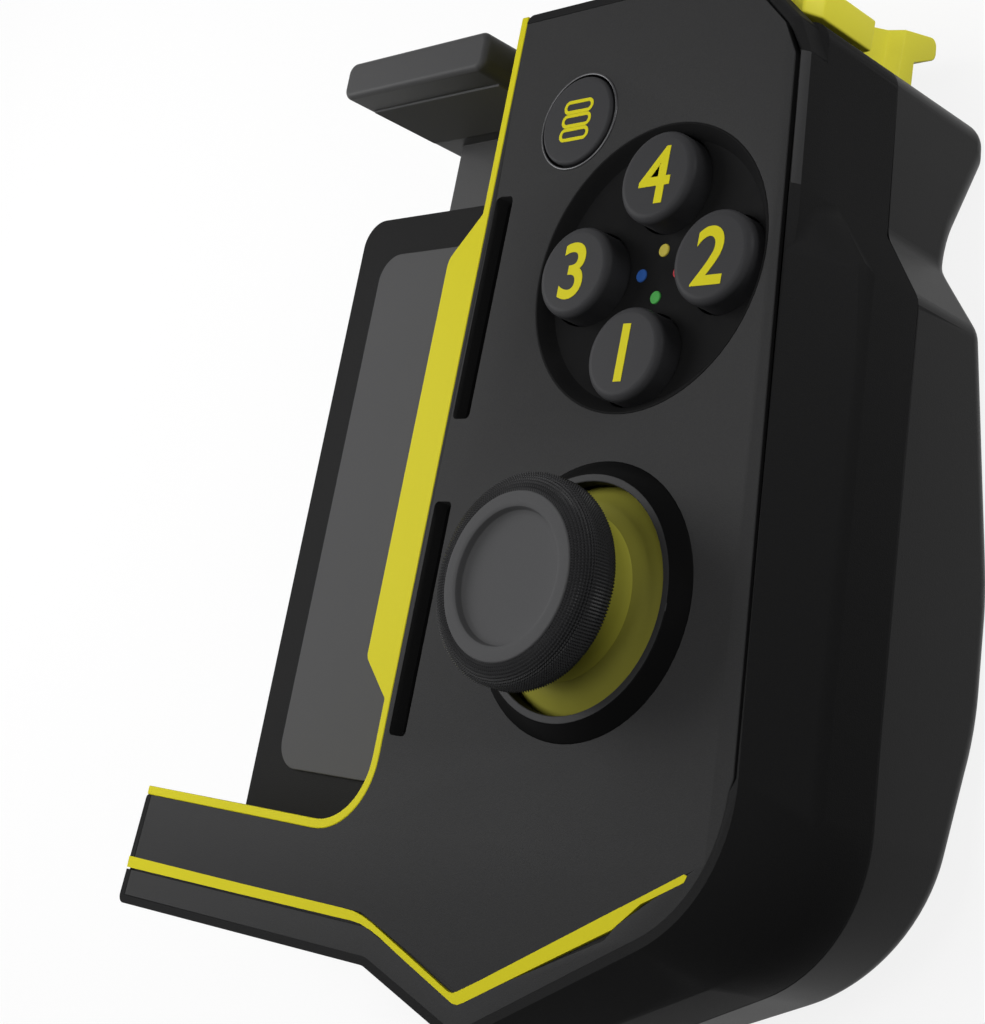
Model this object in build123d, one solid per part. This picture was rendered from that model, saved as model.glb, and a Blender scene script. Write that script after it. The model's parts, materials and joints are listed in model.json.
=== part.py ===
from build123d import *
import math
import os

# Right-hand grip of a two-piece mobile game controller, lying on its back with the face up.
# Lengths are millimetres. Places are measured from the centre of the four face buttons, on the
# face: x outwards to the palm, y towards the triggers, z up out of the face.

# Housing
body_depth = 28.0
seam_depth = 13.0
arm_over = 1.0
arm_depth = seam_depth + arm_over
board_over = 3.4
board_deep = seam_depth - board_over
hood_depth = 3.0
wall = 1.8
plate_thick = 1.6
rim = 0.8
ledge = 1.4
edge_strip = 0.75
facet_depth = 5.9
slip = 0.2
seat_gap = 0.1
cut_over = 2.0
far = 150.0

# Buttons, their well and marks
button_r = 4.24
button_gap = 3.78
button_ring = button_r + button_gap
button_rise = 0.9
button_round = 0.7
button_deep_share = 0.521
button_deep = button_deep_share * board_deep
button_flange = 0.35
button_travel = 1.2
well_margin = 0.94
well_r = button_ring + button_r + well_margin
well_lip = 0.15
well_slope = 1.1
well_wall_deep = 1.2
well_deep = 1.9
well_back = 3.2
well_flange = 0.8
dot_ring = 2.16
dot_r = 0.6
dot_stand = 0.15
menu_r = 4.3
menu_rise = 0.35
menu_round = 0.3
menu_deep = 3.25
menu_flange_thick = 0.6
menu_ring_wide = 0.25
menu_ring_stand = 0.12
menu_travel = 0.6
menu_gap = 0.54
menu_turn = 128.475
menu_reach = well_r + well_flange + menu_r + slip + menu_ring_wide + menu_gap
menu_x = menu_reach * math.cos(math.radians(menu_turn))
menu_y = menu_reach * math.sin(math.radians(menu_turn))

# Thumb stick
stick_x = -0.17
stick_gap = 0.97
pivot_deep = 9.0
collar_base_r = 12.13
collar_slope = 1.43
collar_lip = 0.7
collar_lip_r = collar_base_r - collar_slope
collar_hole_r = collar_lip_r - collar_lip
collar_rise = 1.3
collar_flange = 2.4
collar_over = 0.4
collar_deep = board_deep - collar_over
stick_y = -(well_r + well_flange + collar_base_r + collar_flange + stick_gap)
dome_clear = 0.45
dome_thick = 1.6
dome_half_angle = 70.0
stem_foot_r = 5.0
stem_top_r = 4.0
rod_r = 1.5
rod_below = 4.0
cap_top = 9.17
cap_under = 4.97
cap_r = 9.0
cap_ring_r = 7.2
cap_dish_r = 5.9
cap_dish_deep = 0.9
cap_band = 1.4
cap_foot_r = 7.4
cap_corner_share = 0.3

# Face outline
inner_x = -22.0
top_y = 27.4
side_in = 0.3
side_top_x = well_r - side_in
side_top_y = 17.9
shoulder_in = 1.7
shoulder_x = side_top_x - shoulder_in
shoulder_y = 20.9
hood_corner_in = 6.8
hood_corner_x = shoulder_x - hood_corner_in
facet_y = 6.0
side_flare = 7.9
side_low_x = side_top_x + side_flare
side_low = 22.2
side_low_y = stick_y - side_low
palm_r = 14.5
tip_x = -5.4
tip_low = 15.5
tip_y = side_low_y - tip_low
kink_in = 3.4
kink_x = inner_x + kink_in
kink_high = 4.1
kink_y = tip_y + kink_high
arm_low = 0.4
arm_low_y = kink_y - arm_low
arm_lean = 1.0
corner_r = 0.8
bend_r = 2.0

# Flared grip and rear housing
shelf_y = 22.0
shelf_r = 2.6
hip_in = 1.5
hip_x = side_low_x - hip_in
hip_drop = 6.0
palm_out = 1.7
palm_x = side_low_x + palm_out
palm_high = 14.7
palm_y = side_low_y + palm_high
heel_out = 3.4
heel_x = side_low_x + heel_out
heel_low = 2.3
heel_y = side_low_y - heel_low
heel_r = 14.5
toe_low = 1.8
toe_y = tip_y - toe_low
toe_r = 3.0
rear_r = 3.0
rear_round = 2.5
steep_share = 0.75
pad_wide = 4.0
pad_y = shelf_y - pad_wide
pad_r = 2.0
waist_y = 6.8
waist_rise = 5.7
waist_r = 12.0
hump_top_y = -22.0
hump_low_y = -34.0
hump_r = 24.0
tail_y = -62.0
tail_rise = 8.6
floor_wall = 2.0
room_tip = 2.64
room_toe = 2.7

# Cradle and its liner
liner = 0.9
cradle_high = 11.7
cradle_y = kink_y + cradle_high
cradle_r = 6.5
lip_reach = 3.7
lip_top_y = 3.0
lip_low = 15.4
lip_low_y = cradle_y + lip_low
lip_rise = 4.3
lip_fall = 3.6
lip_thick = 3.2
lip_r = 2.0

# Slots in the face
slot_in = 1.85
slot_x = inner_x + slot_in
slot_wide = 2.3
slot_r = 0.5
slot_top_y = 8.7
slot_long = 21.8
slot_end = 8.6
slot_deep = 3.4

# Chevron stripe, with its places above the tip of the grip
stripe_deep = 0.4
stripe_bend_in = 1.8
stripe_left_high = 8.2
stripe_bend_high = 8.5
stripe_thick = 1.1
stripe_thin = 0.7
stripe_tip_left = 0.5
stripe_tip_high = 4.0
stripe_end_in = 4.3
stripe_end_high = 17.2
stripe_step_in = 11.7
stripe_step_high = 10.9
stripe_step = 1.1
stripe_step_tall = 1.43

# Stick module
frame_out = 13.2
frame_in = 10.8
frame_above = 2.0
base_out = 16.0
base_top = 11.0
base_bottom = 17.5
base_floor = 1.5
yoke_out = 9.4
yoke_in = 6.6
yoke_thick = 2.6
yoke_pin_r = 0.9
block_out = 5.0
block_thick = 2.4
block_pin_r = 0.8
pin_gap = 0.05
pin_end_gap = 0.2
switch_side = 4.0
click_travel = 0.5

# Bumper
bumper_drop = 0.6
bumper_front = hood_depth + bumper_drop
bumper_over = 1.0
bumper_back = seam_depth - bumper_over
bumper_low_y = 23.8
bumper_inner = 4.2
bumper_inner_x = inner_x + bumper_inner
bumper_outer_in = 1.0
bumper_outer_x = shoulder_x - bumper_outer_in
bumper_end_y = 26.0
bumper_knee_in = 3.3
bumper_knee_x = bumper_outer_x - bumper_knee_in
bumper_knee_y = 28.0
bumper_peak_x = -3.75
bumper_peak_y = 29.7
bumper_round = 0.9
bumper_end_r = 1.8
bumper_pin_in = 2.3
bumper_pin_x = bumper_inner_x + bumper_pin_in
bumper_pin_y = 25.0
bumper_pin_r = 1.0
lug_wide = 4.0
lug_thick = 1.8
lug_gap = 0.2
lug_side_gap = 0.4
post_x = 4.2
post_wide = 2.0
post_play = 0.6
post_reach = 1.0
bumper_switch_gap = 0.9
bumper_switch_wide = 3.2
bumper_switch_tall = 3.9
bumper_switch_thick = 3.2

# Trigger, with its side outline measured from its axle as (towards the front, up)
trigger_inner = 11.0
trigger_inner_x = inner_x + trigger_inner
trigger_outer_in = 1.8
trigger_outer_x = bumper_outer_x - trigger_outer_in
trigger_hub_in = 2.0
trigger_hub_x = trigger_outer_x - trigger_hub_in
axle_in = 5.4
axle_y = shelf_y - axle_in
axle_drop = 0.4
axle_z = -seam_depth - axle_drop
axle_r = 1.25
hub_r = 2.2
hub_room_y = 4.4
hub_room_low = 3.08
hub_room_high = 4.4
coil_r = 1.98
trigger_under = ((-1.32, 0.88), (-1.1, -2.2), (2.2, -5.94), (7.4, -7.8), (9.9, -7.6))
trigger_hook = ((9.9, -7.6), (10.7, -9.2), (11.5, -10.7))
trigger_front = (
    (11.5, -10.7), (13.5, -10.4), (12.1, -4.7), (11.2, -1.7), (10.4, 0.65), (7.98, 0.65),
    (5.4, -0.8), (1.98, 0.66), (-1.32, 0.88)
)
trigger_tip = 10.0
trigger_round = 0.8
trigger_swing = 9.4
ear_thick = 1.8
ear_gap = 0.4
ear_r = 2.3
bracket_y = 11.0
bracket_thick = 1.6
bracket_low = 4.6

# Back plate and clamp
liner_step = 0.5
plate_front = seam_depth - liner_step
channel_plate = 5.1
plate_split = plate_front + channel_plate
cover_thick = 1.4
plate_back = plate_split + cover_thick
jaw_gap = 5.5
jaw_inner_x = inner_x - jaw_gap
jaw_long = 22.0
jaw_outer_x = jaw_inner_x - jaw_long
jaw_low_y = 23.0
jaw_high_y = 27.1
jaw_round = 1.2
back_past = 7.5
back_outer_x = jaw_outer_x - back_past
arm_past = 1.1
arm_end_x = back_outer_x - arm_past
back_top_y = 14.5
back_low = 9.6
back_low_y = cradle_y - back_low
back_r = 3.0
pad_thick = 0.5
pad_margin = 4.5
pad_inner = 9.0
tongue_mid_x = (jaw_inner_x + jaw_outer_x) / 2
tongue_wide = 14.6
tongue_in = 1.9
tongue_front = plate_front + tongue_in
tongue_thick = 2.8
tongue_long = 48.0
tongue_slot = 4.2
jaw_close = 8.0
spring_r = 1.275
spring_stop = 3.6
tab_wide = 3.9
cover_screw_xs = (5.0, 31.0)
cover_screw_ys = (6.5, 54.5)

# Electronics and fixings
board_thick = 1.0
board_left_x = -13.6
board_right_x = 10.6
board_low = 13.5
board_low_y = stick_y - board_low
board_step_y = 4.5
board_top_y = 19.0
board_neck_x = 7.4
domes_r = 2.2
domes_top_r = 1.32
domes_tall = board_deep - button_deep - button_travel - seat_gap
menu_dome_r = 1.76
menu_dome_top_r = 1.1
menu_dome_tall = board_deep - menu_deep - menu_travel - slip
battery_wide = 24.0
battery_tall = 16.0
battery_thick = 8.5
battery_y = -9.8
socket_share = 0.42
socket_z = -plate_back - socket_share * (body_depth - plate_back)
socket_low = 4.0
socket_y = stick_y - socket_low
socket_wide = 9.0
socket_tall = 3.2
socket_long = 7.3
magnet_r = 1.6
magnet_thick = 1.8
magnet_out = 8.6
magnet_ys = (socket_y + magnet_out, socket_y - magnet_out)
screw_r = 1.0
screw_head_r = 1.9
screw_head_thick = 1.4
screw_bite = 6.0
boss_r = 2.3
boss_foot_r = 3.0
boss_head_deep = 11.5
boss_rib = 1.4
boss_rib_long = 9.2
boss_in = 5.0
boss_tip_left = 1.1
boss_tip_high = 6.7
boss_heel_in = 7.2
boss_heel_high = 5.2
boss_places = (
    (inner_x + boss_in, 8.5), (10.2, 7.9), (inner_x + boss_in, -21.5),
    (side_low_x - boss_heel_in, side_low_y + boss_heel_high),
    (tip_x - boss_tip_left, tip_y + boss_tip_high)
)
boss_turns = (180, 0, 180, 0, -90)


def corners(*places):
    """A closed flat shape through (x, y, corner radius) places, on the face plane."""
    points = [(x, y) for x, y, radius in places]
    radii = [radius for x, y, radius in places]
    return make_face(FilletPolyline(*points, radius=radii, close=True))


def slab(flat, top, bottom):
    """A flat shape made solid between two depths below the face."""
    return Pos(0, 0, -top) * extrude(flat, bottom - top, dir=(0, 0, -1))


def block(x_low, x_high, y_low, y_high, z_low, z_high):
    """A plain block between its limits."""
    size = (x_high - x_low, y_high - y_low, z_high - z_low)
    middle = ((x_high + x_low) / 2, (y_high + y_low) / 2, (z_high + z_low) / 2)
    return Pos(*middle) * Box(*size)


def rod(x, y, radius, z_low, z_high):
    """An upright round bar."""
    return Pos(x, y, (z_low + z_high) / 2) * Cylinder(radius, z_high - z_low)


def cross_rod(axis, centre, radius, low, high):
    """A round bar along x or y through a centre, between two places on its axis."""
    middle = (low + high) / 2
    if axis == "x":
        return Pos(middle, centre[1], centre[2]) * Rot(0, 90, 0) * Cylinder(radius, high - low)
    return Pos(centre[0], middle, centre[2]) * Rot(90, 0, 0) * Cylinder(radius, high - low)


def turned(profile, x, y):
    """A profile of (radius, height) wires turned about an upright axis."""
    return Pos(x, y, 0) * revolve(Plane.XZ * make_face(profile), Axis.Z)


def dish(radius, edge_z, middle_z):
    """Half of a shallow bowl's section: an arc whose centre lies on the upright axis."""
    deep = edge_z - middle_z
    ball_r = (radius ** 2 + deep ** 2) / (2 * deep)
    turn = math.asin(radius / ball_r) / 2
    halfway = (ball_r * math.sin(turn), middle_z + ball_r * (1 - math.cos(turn)))
    return ThreePointArc((radius, edge_z), halfway, (0, middle_z))


def side_x(y):
    """The straight outer edge of the face at a height y."""
    share = (side_top_y - y) / (side_top_y - side_low_y)
    return side_top_x + share * (side_low_x - side_top_x)


# Outlines of the housing

black_y = cradle_y - liner
cradle_in_r = cradle_r + liner


def face_corners(spread):
    """The face, with its cradle edges moved towards the phone by a spread."""
    return corners(
        (inner_x - spread, top_y, corner_r),
        (hood_corner_x, top_y, bend_r),
        (shoulder_x, shoulder_y, bend_r),
        (side_top_x, side_top_y, corner_r),
        (side_low_x, side_low_y, palm_r),
        (tip_x, tip_y, bend_r),
        (kink_x, kink_y, bend_r),
        (arm_end_x, arm_low_y, corner_r),
        (arm_end_x + arm_lean, black_y + spread, corner_r / 2),
        (inner_x - spread, black_y + spread, cradle_in_r - spread),
    )


face = face_corners(0)
face_inside = offset(face_corners(rim), -rim)


def hood_corners(strip):
    """The upper part of the face, spread sideways and upwards by the strip along its edge."""
    return corners(
        (inner_x, top_y + strip / 2, corner_r),
        (hood_corner_x + strip / 2, top_y + strip / 2, bend_r),
        (shoulder_x + strip, shoulder_y + strip / 2, bend_r),
        (side_top_x + strip, side_top_y, corner_r),
        (side_x(facet_y) + strip, facet_y, 0),
        (inner_x, facet_y, 0),
    )


def shelf_corners(inset):
    """The housing behind the hood, down to where the facet starts."""
    return corners(
        (inner_x + inset, shelf_y - inset, rear_r - inset),
        (side_x(shelf_y) + edge_strip - inset, shelf_y - inset, shelf_r - inset),
        (side_x(facet_y) + edge_strip - inset, facet_y, 0),
        (inner_x + inset, facet_y, 0),
    )


def facet_corners(hip, low_x, low_y, low_r, end_y, end_r):
    """One level of the flared grip: its hip, heel and toe move, its inner side stays."""
    return corners(
        (kink_x, facet_y, 0),
        (side_x(facet_y) + hip[0], facet_y, 0),
        (hip[1], facet_y - hip_drop, 0),
        (low_x[0], palm_y, 0),
        (low_x[1], low_y, low_r),
        (tip_x, end_y, end_r),
        (kink_x, kink_y, corner_r),
    )


facet_top = facet_corners(
    (0, side_x(facet_y - hip_drop)), (side_x(palm_y), side_low_x), side_low_y, palm_r, tip_y, bend_r
)
facet_out = facet_corners(
    (edge_strip, hip_x), (palm_x, heel_x), heel_y, heel_r, toe_y, toe_r
)


def rear_corners(inset):
    """The outline of the rear housing, set in by a wall."""
    return corners(
        (inner_x + inset, shelf_y - inset, rear_r - inset),
        (side_x(shelf_y) + edge_strip - inset, shelf_y - inset, shelf_r - inset),
        (side_x(facet_y) + edge_strip - inset, facet_y, rear_r),
        (hip_x - inset, facet_y - hip_drop - inset, rear_r - inset),
        (palm_x - inset, palm_y, palm_r - inset),
        (heel_x - inset, heel_y + inset, heel_r - inset),
        (tip_x, toe_y + inset, toe_r - inset),
        (kink_x + inset, kink_y + inset, rear_r - inset),
        (inner_x + inset, kink_y + rear_r + inset, rear_r - inset),
    )


def on_line(start, through, y):
    """The place at y on the line from a start through a second place."""
    slope = (through[1] - start[1]) / (through[0] - start[0])
    return (y, start[1] + (y - start[0]) * slope)


def rear_form(inset, floor):
    """The rear housing's outline, cut by its back with a wing, a waist, a hump and a tail."""
    waist = (waist_y, waist_rise)
    hump_low = (hump_low_y, 0)
    side = FilletPolyline(
        (far, body_depth), (far, 0), (pad_y, 0), waist, (hump_top_y, 0), hump_low,
        on_line(hump_low, (tail_y, tail_rise), -far), (-far, body_depth),
        radius=[0, 0, pad_r, waist_r, hump_r, hump_r, 0, 0], close=True
    )
    back = Pos(0, 0, floor - body_depth) * extrude(Plane.YZ * make_face(side), far, both=True)
    return slab(rear_corners(inset), seam_depth, body_depth + cut_over) & back


def lies_across(edge):
    """Whether an edge runs along the housing and not in its depth."""
    run = (edge @ 1) - (edge @ 0)
    return abs(run.Z) < edge.length * steep_share


# Front housing: hood, shelf, arm and the flared facet in one moulding

hood = loft([hood_corners(0), Pos(0, 0, -edge_strip) * hood_corners(edge_strip)], ruled=True)
hood += slab(hood_corners(edge_strip), edge_strip, hood_depth)
shelf = slab(shelf_corners(0), hood_depth, seam_depth)
lower_face = face & Pos(inner_x, facet_y, 0) * Rectangle(
    far * 2, far, align=(Align.CENTER, Align.MAX)
)
main_half = Pos(inner_x, 0, 0) * Rectangle(far, far * 2, align=(Align.MIN, Align.CENTER))
core = slab(lower_face & main_half, 0, seam_depth)
arm = slab(lower_face - main_half, 0, arm_depth)
flare = loft([facet_top, Pos(0, 0, -facet_depth) * facet_out], ruled=True)
flare += slab(facet_out, facet_depth, seam_depth)

# The hood's edge strip runs out into the facet as a slim wedge

strip_x = side_x(facet_y) + edge_strip
root_x = side_x(facet_y) - rim
strip_end = make_face(Polyline(
    (root_x, facet_y, -rim), (strip_x, facet_y, -edge_strip), (strip_x, facet_y, -facet_depth),
    (root_x, facet_y, -facet_depth), (root_x, facet_y, -rim)
))
wedge_y = facet_y - hip_drop
wedge_share = edge_strip / facet_depth
wedge_x = side_x(wedge_y) + wedge_share * (hip_x - side_x(wedge_y))
wedge_end = Vertex(wedge_x - seat_gap, wedge_y, -edge_strip - seat_gap)
wedge = loft([strip_end, wedge_end], ruled=True)
front_solid = hood + shelf + core + arm + flare + wedge


# Rooms inside, and the posts that the housing screws hold

chamber_x = slot_x + slot_wide / 2 + seat_gap
chamber = corners(
    (chamber_x, shelf_y - wall, corner_r),
    (side_top_x - ledge - rim, shelf_y - wall, corner_r),
    (side_x(facet_y) - ledge - rim, facet_y, 0),
    (side_low_x - ledge - rim, side_low_y + ledge, palm_r - ledge - rim),
    (tip_x, tip_y + room_tip, bend_r),
    (chamber_x, kink_y + ledge + rim, corner_r),
)
lower_room = facet_corners(
    (edge_strip - wall, hip_x - wall), (palm_x - wall, heel_x - wall),
    heel_y + wall, heel_r - wall, toe_y + room_toe, toe_r
) & Pos(chamber_x, shelf_y, 0) * Rectangle(far, far * 2, align=(Align.MIN, Align.CENTER))
upper_room = shelf_corners(wall)
well_room = Circle(button_ring + button_r + button_flange + slip * 2)
collar_room = Pos(stick_x, stick_y) * Circle(collar_base_r + collar_flange + seat_gap)
deep_room = facet_depth + wall

front_cut = slab(face_inside, -cut_over, plate_thick)
front_cut += slab(chamber, plate_thick - cut_over, seam_depth + cut_over)
front_cut += slab(lower_room, deep_room, seam_depth + cut_over)
front_cut += slab(upper_room, deep_room, seam_depth + cut_over)
front_cut += slab(Circle(well_r + well_flange + seat_gap), plate_thick, well_back)
front_cut += slab(well_room, well_back, deep_room)
front_cut += slab(collar_room, plate_thick, collar_deep + seat_gap)
slots = Sketch()
for slot_low in (slot_top_y - slot_long, cradle_y + slot_end):
    slots += Pos(slot_x, slot_low + slot_long / 2) * RectangleRounded(
        slot_wide, slot_long, slot_r
    )
front_cut += slab(slots, -cut_over, slot_deep)

front_posts = Part()
post_holes = Part()
rear_posts = Part()
head_holes = Part()
screws = Part()
post_top = -well_back - slip
post_tall = seam_depth + post_top
for (boss_x, boss_y), rib_turn in zip(boss_places, boss_turns):
    hole_top = -seam_depth + screw_bite
    seat = -body_depth + boss_head_deep
    front_posts += rod(boss_x, boss_y, boss_r, -seam_depth, post_top)
    front_posts += Pos(boss_x, boss_y, -seam_depth) * Rot(0, 0, rib_turn) * Box(
        boss_rib_long, boss_rib, post_tall, align=(Align.MIN, Align.CENTER, Align.MIN)
    )
    post_holes += rod(boss_x, boss_y, screw_r, -seam_depth - cut_over, hole_top)
    rear_posts += rod(boss_x, boss_y, boss_foot_r, -body_depth + floor_wall, -seam_depth)
    head_holes += rod(boss_x, boss_y, screw_r + slip, seat - cut_over, -seam_depth + cut_over)
    head_holes += rod(boss_x, boss_y, screw_head_r + slip, -body_depth - cut_over, seat)
    screws += rod(boss_x, boss_y, screw_r, seat, hole_top - slip)
    screws += rod(boss_x, boss_y, screw_head_r, seat - screw_head_thick, seat)

# Bumper lugs and the slot for its post stand on the shelf of the front housing

lugs = Part()
lug_levels = (
    (-hood_depth - lug_thick, -hood_depth),
    (-bumper_back, -bumper_back + lug_thick),
)
for lug_low, lug_high in lug_levels:
    lugs += rod(bumper_pin_x, bumper_pin_y, lug_wide / 2, lug_low, lug_high)
    lugs += block(
        bumper_pin_x - lug_wide / 2, bumper_pin_x + lug_wide / 2,
        shelf_y - wall, bumper_pin_y, lug_low, lug_high
    )
pin_hole = rod(
    bumper_pin_x, bumper_pin_y, bumper_pin_r, -bumper_back - cut_over, -hood_depth + rim
)
post_mid = -(bumper_front + bumper_back) / 2
post_hole = block(
    post_x - post_wide / 2 - post_play, post_x + post_wide / 2 + post_play,
    shelf_y - wall - cut_over, shelf_y + cut_over,
    post_mid - post_wide / 2 - post_play, post_mid + post_wide / 2 + post_play
)

front_posts &= slab(face_inside, plate_thick, seam_depth)
front_shell = front_solid - front_cut + front_posts + lugs - post_holes - pin_hole - post_hole

# Face plate with its openings, and the stripe let into it

stripe_left_y = tip_y + stripe_left_high
stripe_bend = (inner_x + stripe_bend_in, tip_y + stripe_bend_high)
stripe_tip = (tip_x - stripe_tip_left, tip_y + stripe_tip_high)
stripe_notch = (side_low_x - stripe_step_in, tip_y + stripe_step_high)
stripe = corners(
    (arm_end_x - cut_over, stripe_left_y, 0),
    (*stripe_bend, 0),
    (*stripe_tip, 0),
    (side_low_x - stripe_end_in, tip_y + stripe_end_high, 0),
    (stripe_notch[0] + stripe_step, stripe_notch[1] + stripe_step_tall, 0),
    (*stripe_notch, 0),
    (stripe_tip[0], stripe_tip[1] - stripe_thin, 0),
    (stripe_bend[0] + stripe_thick, stripe_bend[1] - stripe_thick, 0),
    (arm_end_x - cut_over, stripe_left_y - stripe_thick, 0),
) & face
stripe_room = slab(stripe, -cut_over, stripe_deep)
accent_stripe = slab(stripe, 0, stripe_deep)

openings = Circle(well_r) + Pos(stick_x, stick_y) * Circle(collar_base_r)
openings += Pos(menu_x, menu_y) * Circle(menu_r + slip + menu_ring_wide)
face_plate = slab(face_inside - openings - slots, 0, plate_thick) - stripe_room
front_shell -= stripe_room

# Cradle liner: a strip round the inner edge with the lip that keeps the phone in

outer_x = inner_x - liner
lip_x = outer_x - lip_reach
strip = corners(
    (inner_x, top_y, 0),
    (outer_x, top_y, 0),
    (outer_x, cradle_y, cradle_r),
    (arm_end_x + arm_lean, cradle_y, 0),
    (arm_end_x + arm_lean, black_y, 0),
    (inner_x, black_y, cradle_in_r),
)
lip = corners(
    (inner_x - liner / 2, lip_top_y + lip_rise, 0),
    (outer_x, lip_top_y + lip_rise, 0),
    (lip_x, lip_top_y, lip_r),
    (lip_x, lip_low_y, lip_r / 2),
    (outer_x, lip_low_y - lip_fall, 0),
    (inner_x - liner / 2, lip_low_y - lip_fall, 0),
)
cradle_liner = slab(strip, 0, plate_front) + slab(lip, 0, lip_thick)

# Rear housing, rounded all round its back

trigger_room = block(
    trigger_inner_x - ear_gap, trigger_outer_x + ear_gap,
    shelf_y - wall - cut_over, shelf_y + cut_over,
    axle_z - trigger_swing, -seam_depth + cut_over
)
socket = Pos(inner_x, socket_y, socket_z) * Rot(0, 90, 0) * RectangleRounded(
    socket_tall, socket_wide, socket_tall / 2 - seat_gap
)
socket_body = extrude(socket, socket_long, dir=(1, 0, 0))
magnets = Part()
for magnet_y in magnet_ys:
    magnets += cross_rod(
        "x", (0, magnet_y, socket_z), magnet_r, inner_x, inner_x + magnet_thick
    )
rear_solid = rear_form(0, 0)
back_edges = rear_solid.edges().filter_by(lies_across)
back_edges = back_edges.filter_by_position(Axis.Z, -body_depth - rim, -seam_depth - rim)
rear_shell = fillet(back_edges, rear_round) - rear_form(wall, floor_wall)
rear_shell += rear_posts & rear_form(wall / 2, floor_wall / 2)
for magnet_y in magnet_ys:
    rear_shell += cross_rod(
        "x", (0, magnet_y, socket_z), magnet_r + wall / 2,
        inner_x + wall / 2, inner_x + magnet_thick + wall / 2
    )
rear_shell = rear_shell - head_holes - trigger_room - socket_body - magnets
rear_shell -= block(arm_end_x, inner_x, toe_y, shelf_y, -body_depth, -seam_depth)

# Button well: a dished cup with four guide holes and four light dots

well_profile = [
    Polyline(
        (0, -well_back), (well_r + well_flange, -well_back),
        (well_r + well_flange, -plate_thick), (well_r, -plate_thick), (well_r, 0),
        (well_r - well_lip, 0), (well_r - well_lip - well_slope, -well_wall_deep),
    ),
    dish(well_r - well_lip - well_slope, -well_wall_deep, -well_deep),
    Line((0, -well_deep), (0, -well_back)),
]
button_well = turned(well_profile, 0, 0)
button_turns = {"bottom": -90, "right": 0, "left": 180, "top": 90}
button_spots = {}
for name, turn in button_turns.items():
    spot = Vector(button_ring, 0, 0).rotate(Axis.Z, turn)
    button_spots[name] = (spot.X, spot.Y)
    button_well -= rod(spot.X, spot.Y, button_r + slip, -well_back - cut_over, cut_over)
dots = {}
for name, turn in {"green": -90, "red": 0, "blue": 180, "yellow": 90}.items():
    spot = Vector(dot_ring, 0, 0).rotate(Axis.Z, turn)
    pipe = rod(spot.X, spot.Y, dot_r, -well_back, -well_deep + dot_stand)
    button_well -= rod(spot.X, spot.Y, dot_r, -well_back - cut_over, cut_over)
    dots[name] = pipe


def round_top(x, y, radius, rise, rounding, deep, flange_low, guide_under):
    """A round key: a rounded top, a straight skirt and a flange that keeps it in its guide."""
    key = rod(x, y, radius, -deep, rise)
    key = fillet(key.edges().filter_by(GeomType.CIRCLE).group_by(Axis.Z)[-1], rounding)
    return key + rod(x, y, radius + button_flange, -flange_low, -guide_under - slip)


buttons = {}
for name, (x, y) in button_spots.items():
    buttons[name] = round_top(
        x, y, button_r, button_rise, button_round, button_deep, button_deep - seat_gap, well_back
    )

# Menu button in its thin bright ring

menu_out = menu_r + slip + menu_ring_wide
menu_ring = rod(menu_x, menu_y, menu_out, -plate_thick, menu_ring_stand)
menu_ring -= rod(menu_x, menu_y, menu_r + slip, -plate_thick - cut_over, cut_over)
menu_button = round_top(
    menu_x, menu_y, menu_r, menu_rise, menu_round, menu_deep,
    plate_thick + slip + menu_flange_thick, plate_thick
)

# Stick collar, with a ball-shaped room for the dome

pivot = (stick_x, stick_y, -pivot_deep)
room_r = math.hypot(collar_hole_r, pivot_deep)
collar_out = collar_base_r + collar_flange
collar_foot_r = math.sqrt(room_r ** 2 - (collar_deep - pivot_deep) ** 2)
half = math.radians(dome_half_angle)


def on_ball(radius, angle):
    """A place on a ball about the pivot, as (radius from the axis, height)."""
    return (radius * math.sin(angle), radius * math.cos(angle) - pivot_deep)


collar_profile = [
    ThreePointArc((collar_hole_r, 0), on_ball(room_r, half), (collar_foot_r, -collar_deep)),
    Polyline(
        (collar_foot_r, -collar_deep), (collar_out, -collar_deep), (collar_out, -plate_thick),
        (collar_base_r, -plate_thick), (collar_base_r, 0), (collar_lip_r, collar_rise),
        (collar_hole_r, collar_rise), (collar_hole_r, 0),
    ),
]
stick_collar = turned(collar_profile, stick_x, stick_y)

# Thumb stick: a hollow dome, a tapered stem with its rod, and the thumb cap

dome_r = room_r - dome_clear
dome_in_r = dome_r - dome_thick
dome_flat = math.sqrt(dome_r ** 2 - stem_foot_r ** 2) - pivot_deep
middle = (half + math.asin(stem_foot_r / dome_r)) / 2
dome_roof = math.sqrt(dome_in_r ** 2 - rod_r ** 2) - pivot_deep
dome_profile = [
    Polyline((rod_r, dome_in_r - pivot_deep), (rod_r, dome_flat), (stem_foot_r, dome_flat)),
    ThreePointArc((stem_foot_r, dome_flat), on_ball(dome_r, middle), on_ball(dome_r, half)),
    Line(on_ball(dome_r, half), on_ball(dome_in_r, half)),
    ThreePointArc(
        on_ball(dome_in_r, half), on_ball(dome_in_r, half / 2),
        (rod_r, dome_roof),
    ),
    Line((rod_r, dome_roof), (rod_r, dome_in_r - pivot_deep)),
]
stick_dome = turned(dome_profile, stick_x, stick_y)
stem_tall = cap_under - dome_flat
stick_stem = rod(stick_x, stick_y, rod_r, -pivot_deep - rod_below, dome_flat)
stick_stem += Pos(stick_x, stick_y, dome_flat + stem_tall / 2) * Cone(
    stem_foot_r, stem_top_r, stem_tall
)
cap_mid = (cap_top + cap_under) / 2
cap_foot_in = (cap_r - cap_foot_r) * cap_corner_share
cap_ring_in = (cap_r - cap_ring_r) * cap_corner_share
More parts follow.
